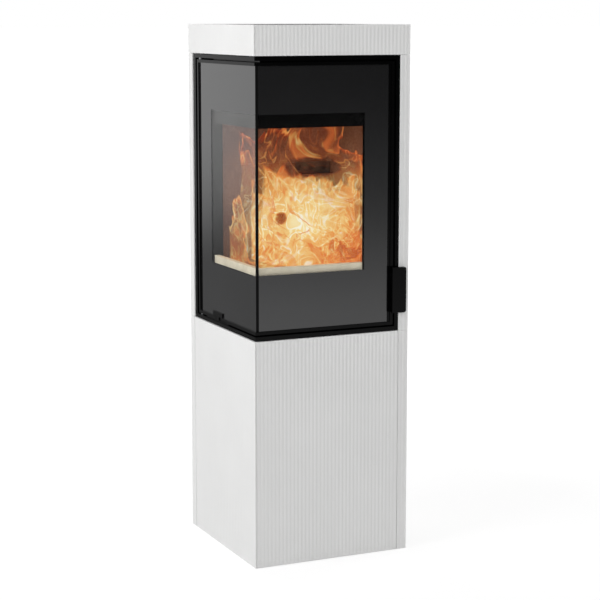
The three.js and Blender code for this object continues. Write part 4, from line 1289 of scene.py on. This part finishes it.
def sheet_path(inset, reach_right, reach_rear):
    """A path in plan: along the front pane, round the corner and along the side pane. In mm."""
    centre = inset + CORNER_TURN
    path = [Vector((reach_right, inset)), Vector((centre, inset))]
    for turned in (math.radians(90 * k / TURN_PARTS) for k in range(1, TURN_PARTS)):
        path.append(Vector((centre - CORNER_TURN * math.sin(turned),
                            centre - CORNER_TURN * math.cos(turned))))
    return path + [Vector((inset, centre)), Vector((inset, reach_rear))]


def walk(path):
    """Evenly spaced stations on a path: distance walked, place, and the direction outwards."""
    lengths = [0.0]
    for a, b in zip(path, path[1:]):
        lengths.append(lengths[-1] + (b - a).length)
    for i in range(COLUMNS + 1):
        along = lengths[-1] * i / COLUMNS
        k = max(j for j in range(len(path) - 1) if lengths[j] <= along + 1e-9)
        place = path[k].lerp(path[k + 1], (along - lengths[k]) / (lengths[k + 1] - lengths[k]))
        ahead = (path[k + 1] - path[k]).normalized()
        yield along, place, Vector((ahead.y, -ahead.x))


print("stations along a sheet:", COLUMNS + 1)

# %% Hang the sheets
ROWS = 48
FOOT_PLAY = 0.002
STEADY = 0.25


def flame_sheet(name, inset, finish, reach_right, reach_rear, phase):
    """A wavy upright sheet that follows both panes at an inset in mm from the outer faces."""
    low = FIRE_LOW + FOOT_PLAY
    mesh = bmesh.new()
    grid = []
    for along, place, outward in walk(sheet_path(inset, reach_right, reach_rear)):
        column = []
        for j in range(ROWS + 1):
            z = low + (FIRE_HIGH - low) * j / ROWS
            bulge = wave(along, z, phase, SWAY) + wave(along, z, phase, RIPPLE)
            spot = place + outward * bulge * min(1.0, STEADY + j / ROWS)
            column.append(mesh.verts.new(at(spot.x, spot.y, z / MM)))
        grid.append(column)
    for here, beside in zip(grid, grid[1:]):
        for j in range(ROWS):
            mesh.faces.new((here[j], beside[j], beside[j + 1], here[j + 1]))
    data = finished_mesh(name, mesh)
    data.shade_smooth()
    piece = as_piece(name, data, finish, "stove")
    piece.visible_shadow = False


flame_sheet("flame_near", 58.0, FLAME_SKINS["near"], 390.0, 322.0, 1.0)
flame_sheet("flame_middle", 92.0, FLAME_SKINS["middle"], 389.0, 321.0, 4.0)
flame_sheet("flame_back", 126.0, FLAME_SKINS["back"], 387.0, 320.0, 6.0)
flame_sheet("flame_far", 160.0, FLAME_SKINS["far"], 385.0, 319.0, 9.0)

# %% [markdown]
# ## The fire's own light
# The burning gas lights the chamber's walls from within. The sheets glow too faintly for that,
# and making them brighter would burn out their colours. So a small orange lamp hangs in the
# middle of the fire, where neither the camera nor a mirror nor the glass can show it.

# %% Hang a lamp in the fire
fire_light = bpy.data.lights.new("fire_light", "POINT")
fire_light.energy = 1.2
fire_light.color = (1.0, 0.50, 0.24)
fire_light.shadow_soft_size = 0.05
fire_stand = bpy.data.objects.new("fire_light", fire_light)
fire_stand.location = at(230, 160, 1060)
fire_stand.visible_camera = False
fire_stand.visible_glossy = False
fire_stand.visible_transmission = False
scene.collection.objects.link(fire_stand)
print("fire light:", round(fire_light.energy, 2), "W")

# %% [markdown]
# ## Measure and finish
# Dressing a part never changes its size. We could trust that, but it is quick to show: we print
# how much the box of what shows now has grown over the box of the plain solids.

# %% Write the sizes and finish
shown_low, shown_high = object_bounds()
growth = (shown_high - shown_low) - (frame_high - frame_low)
print("grew by mm:", [round(along / MM, 2) for along in growth])
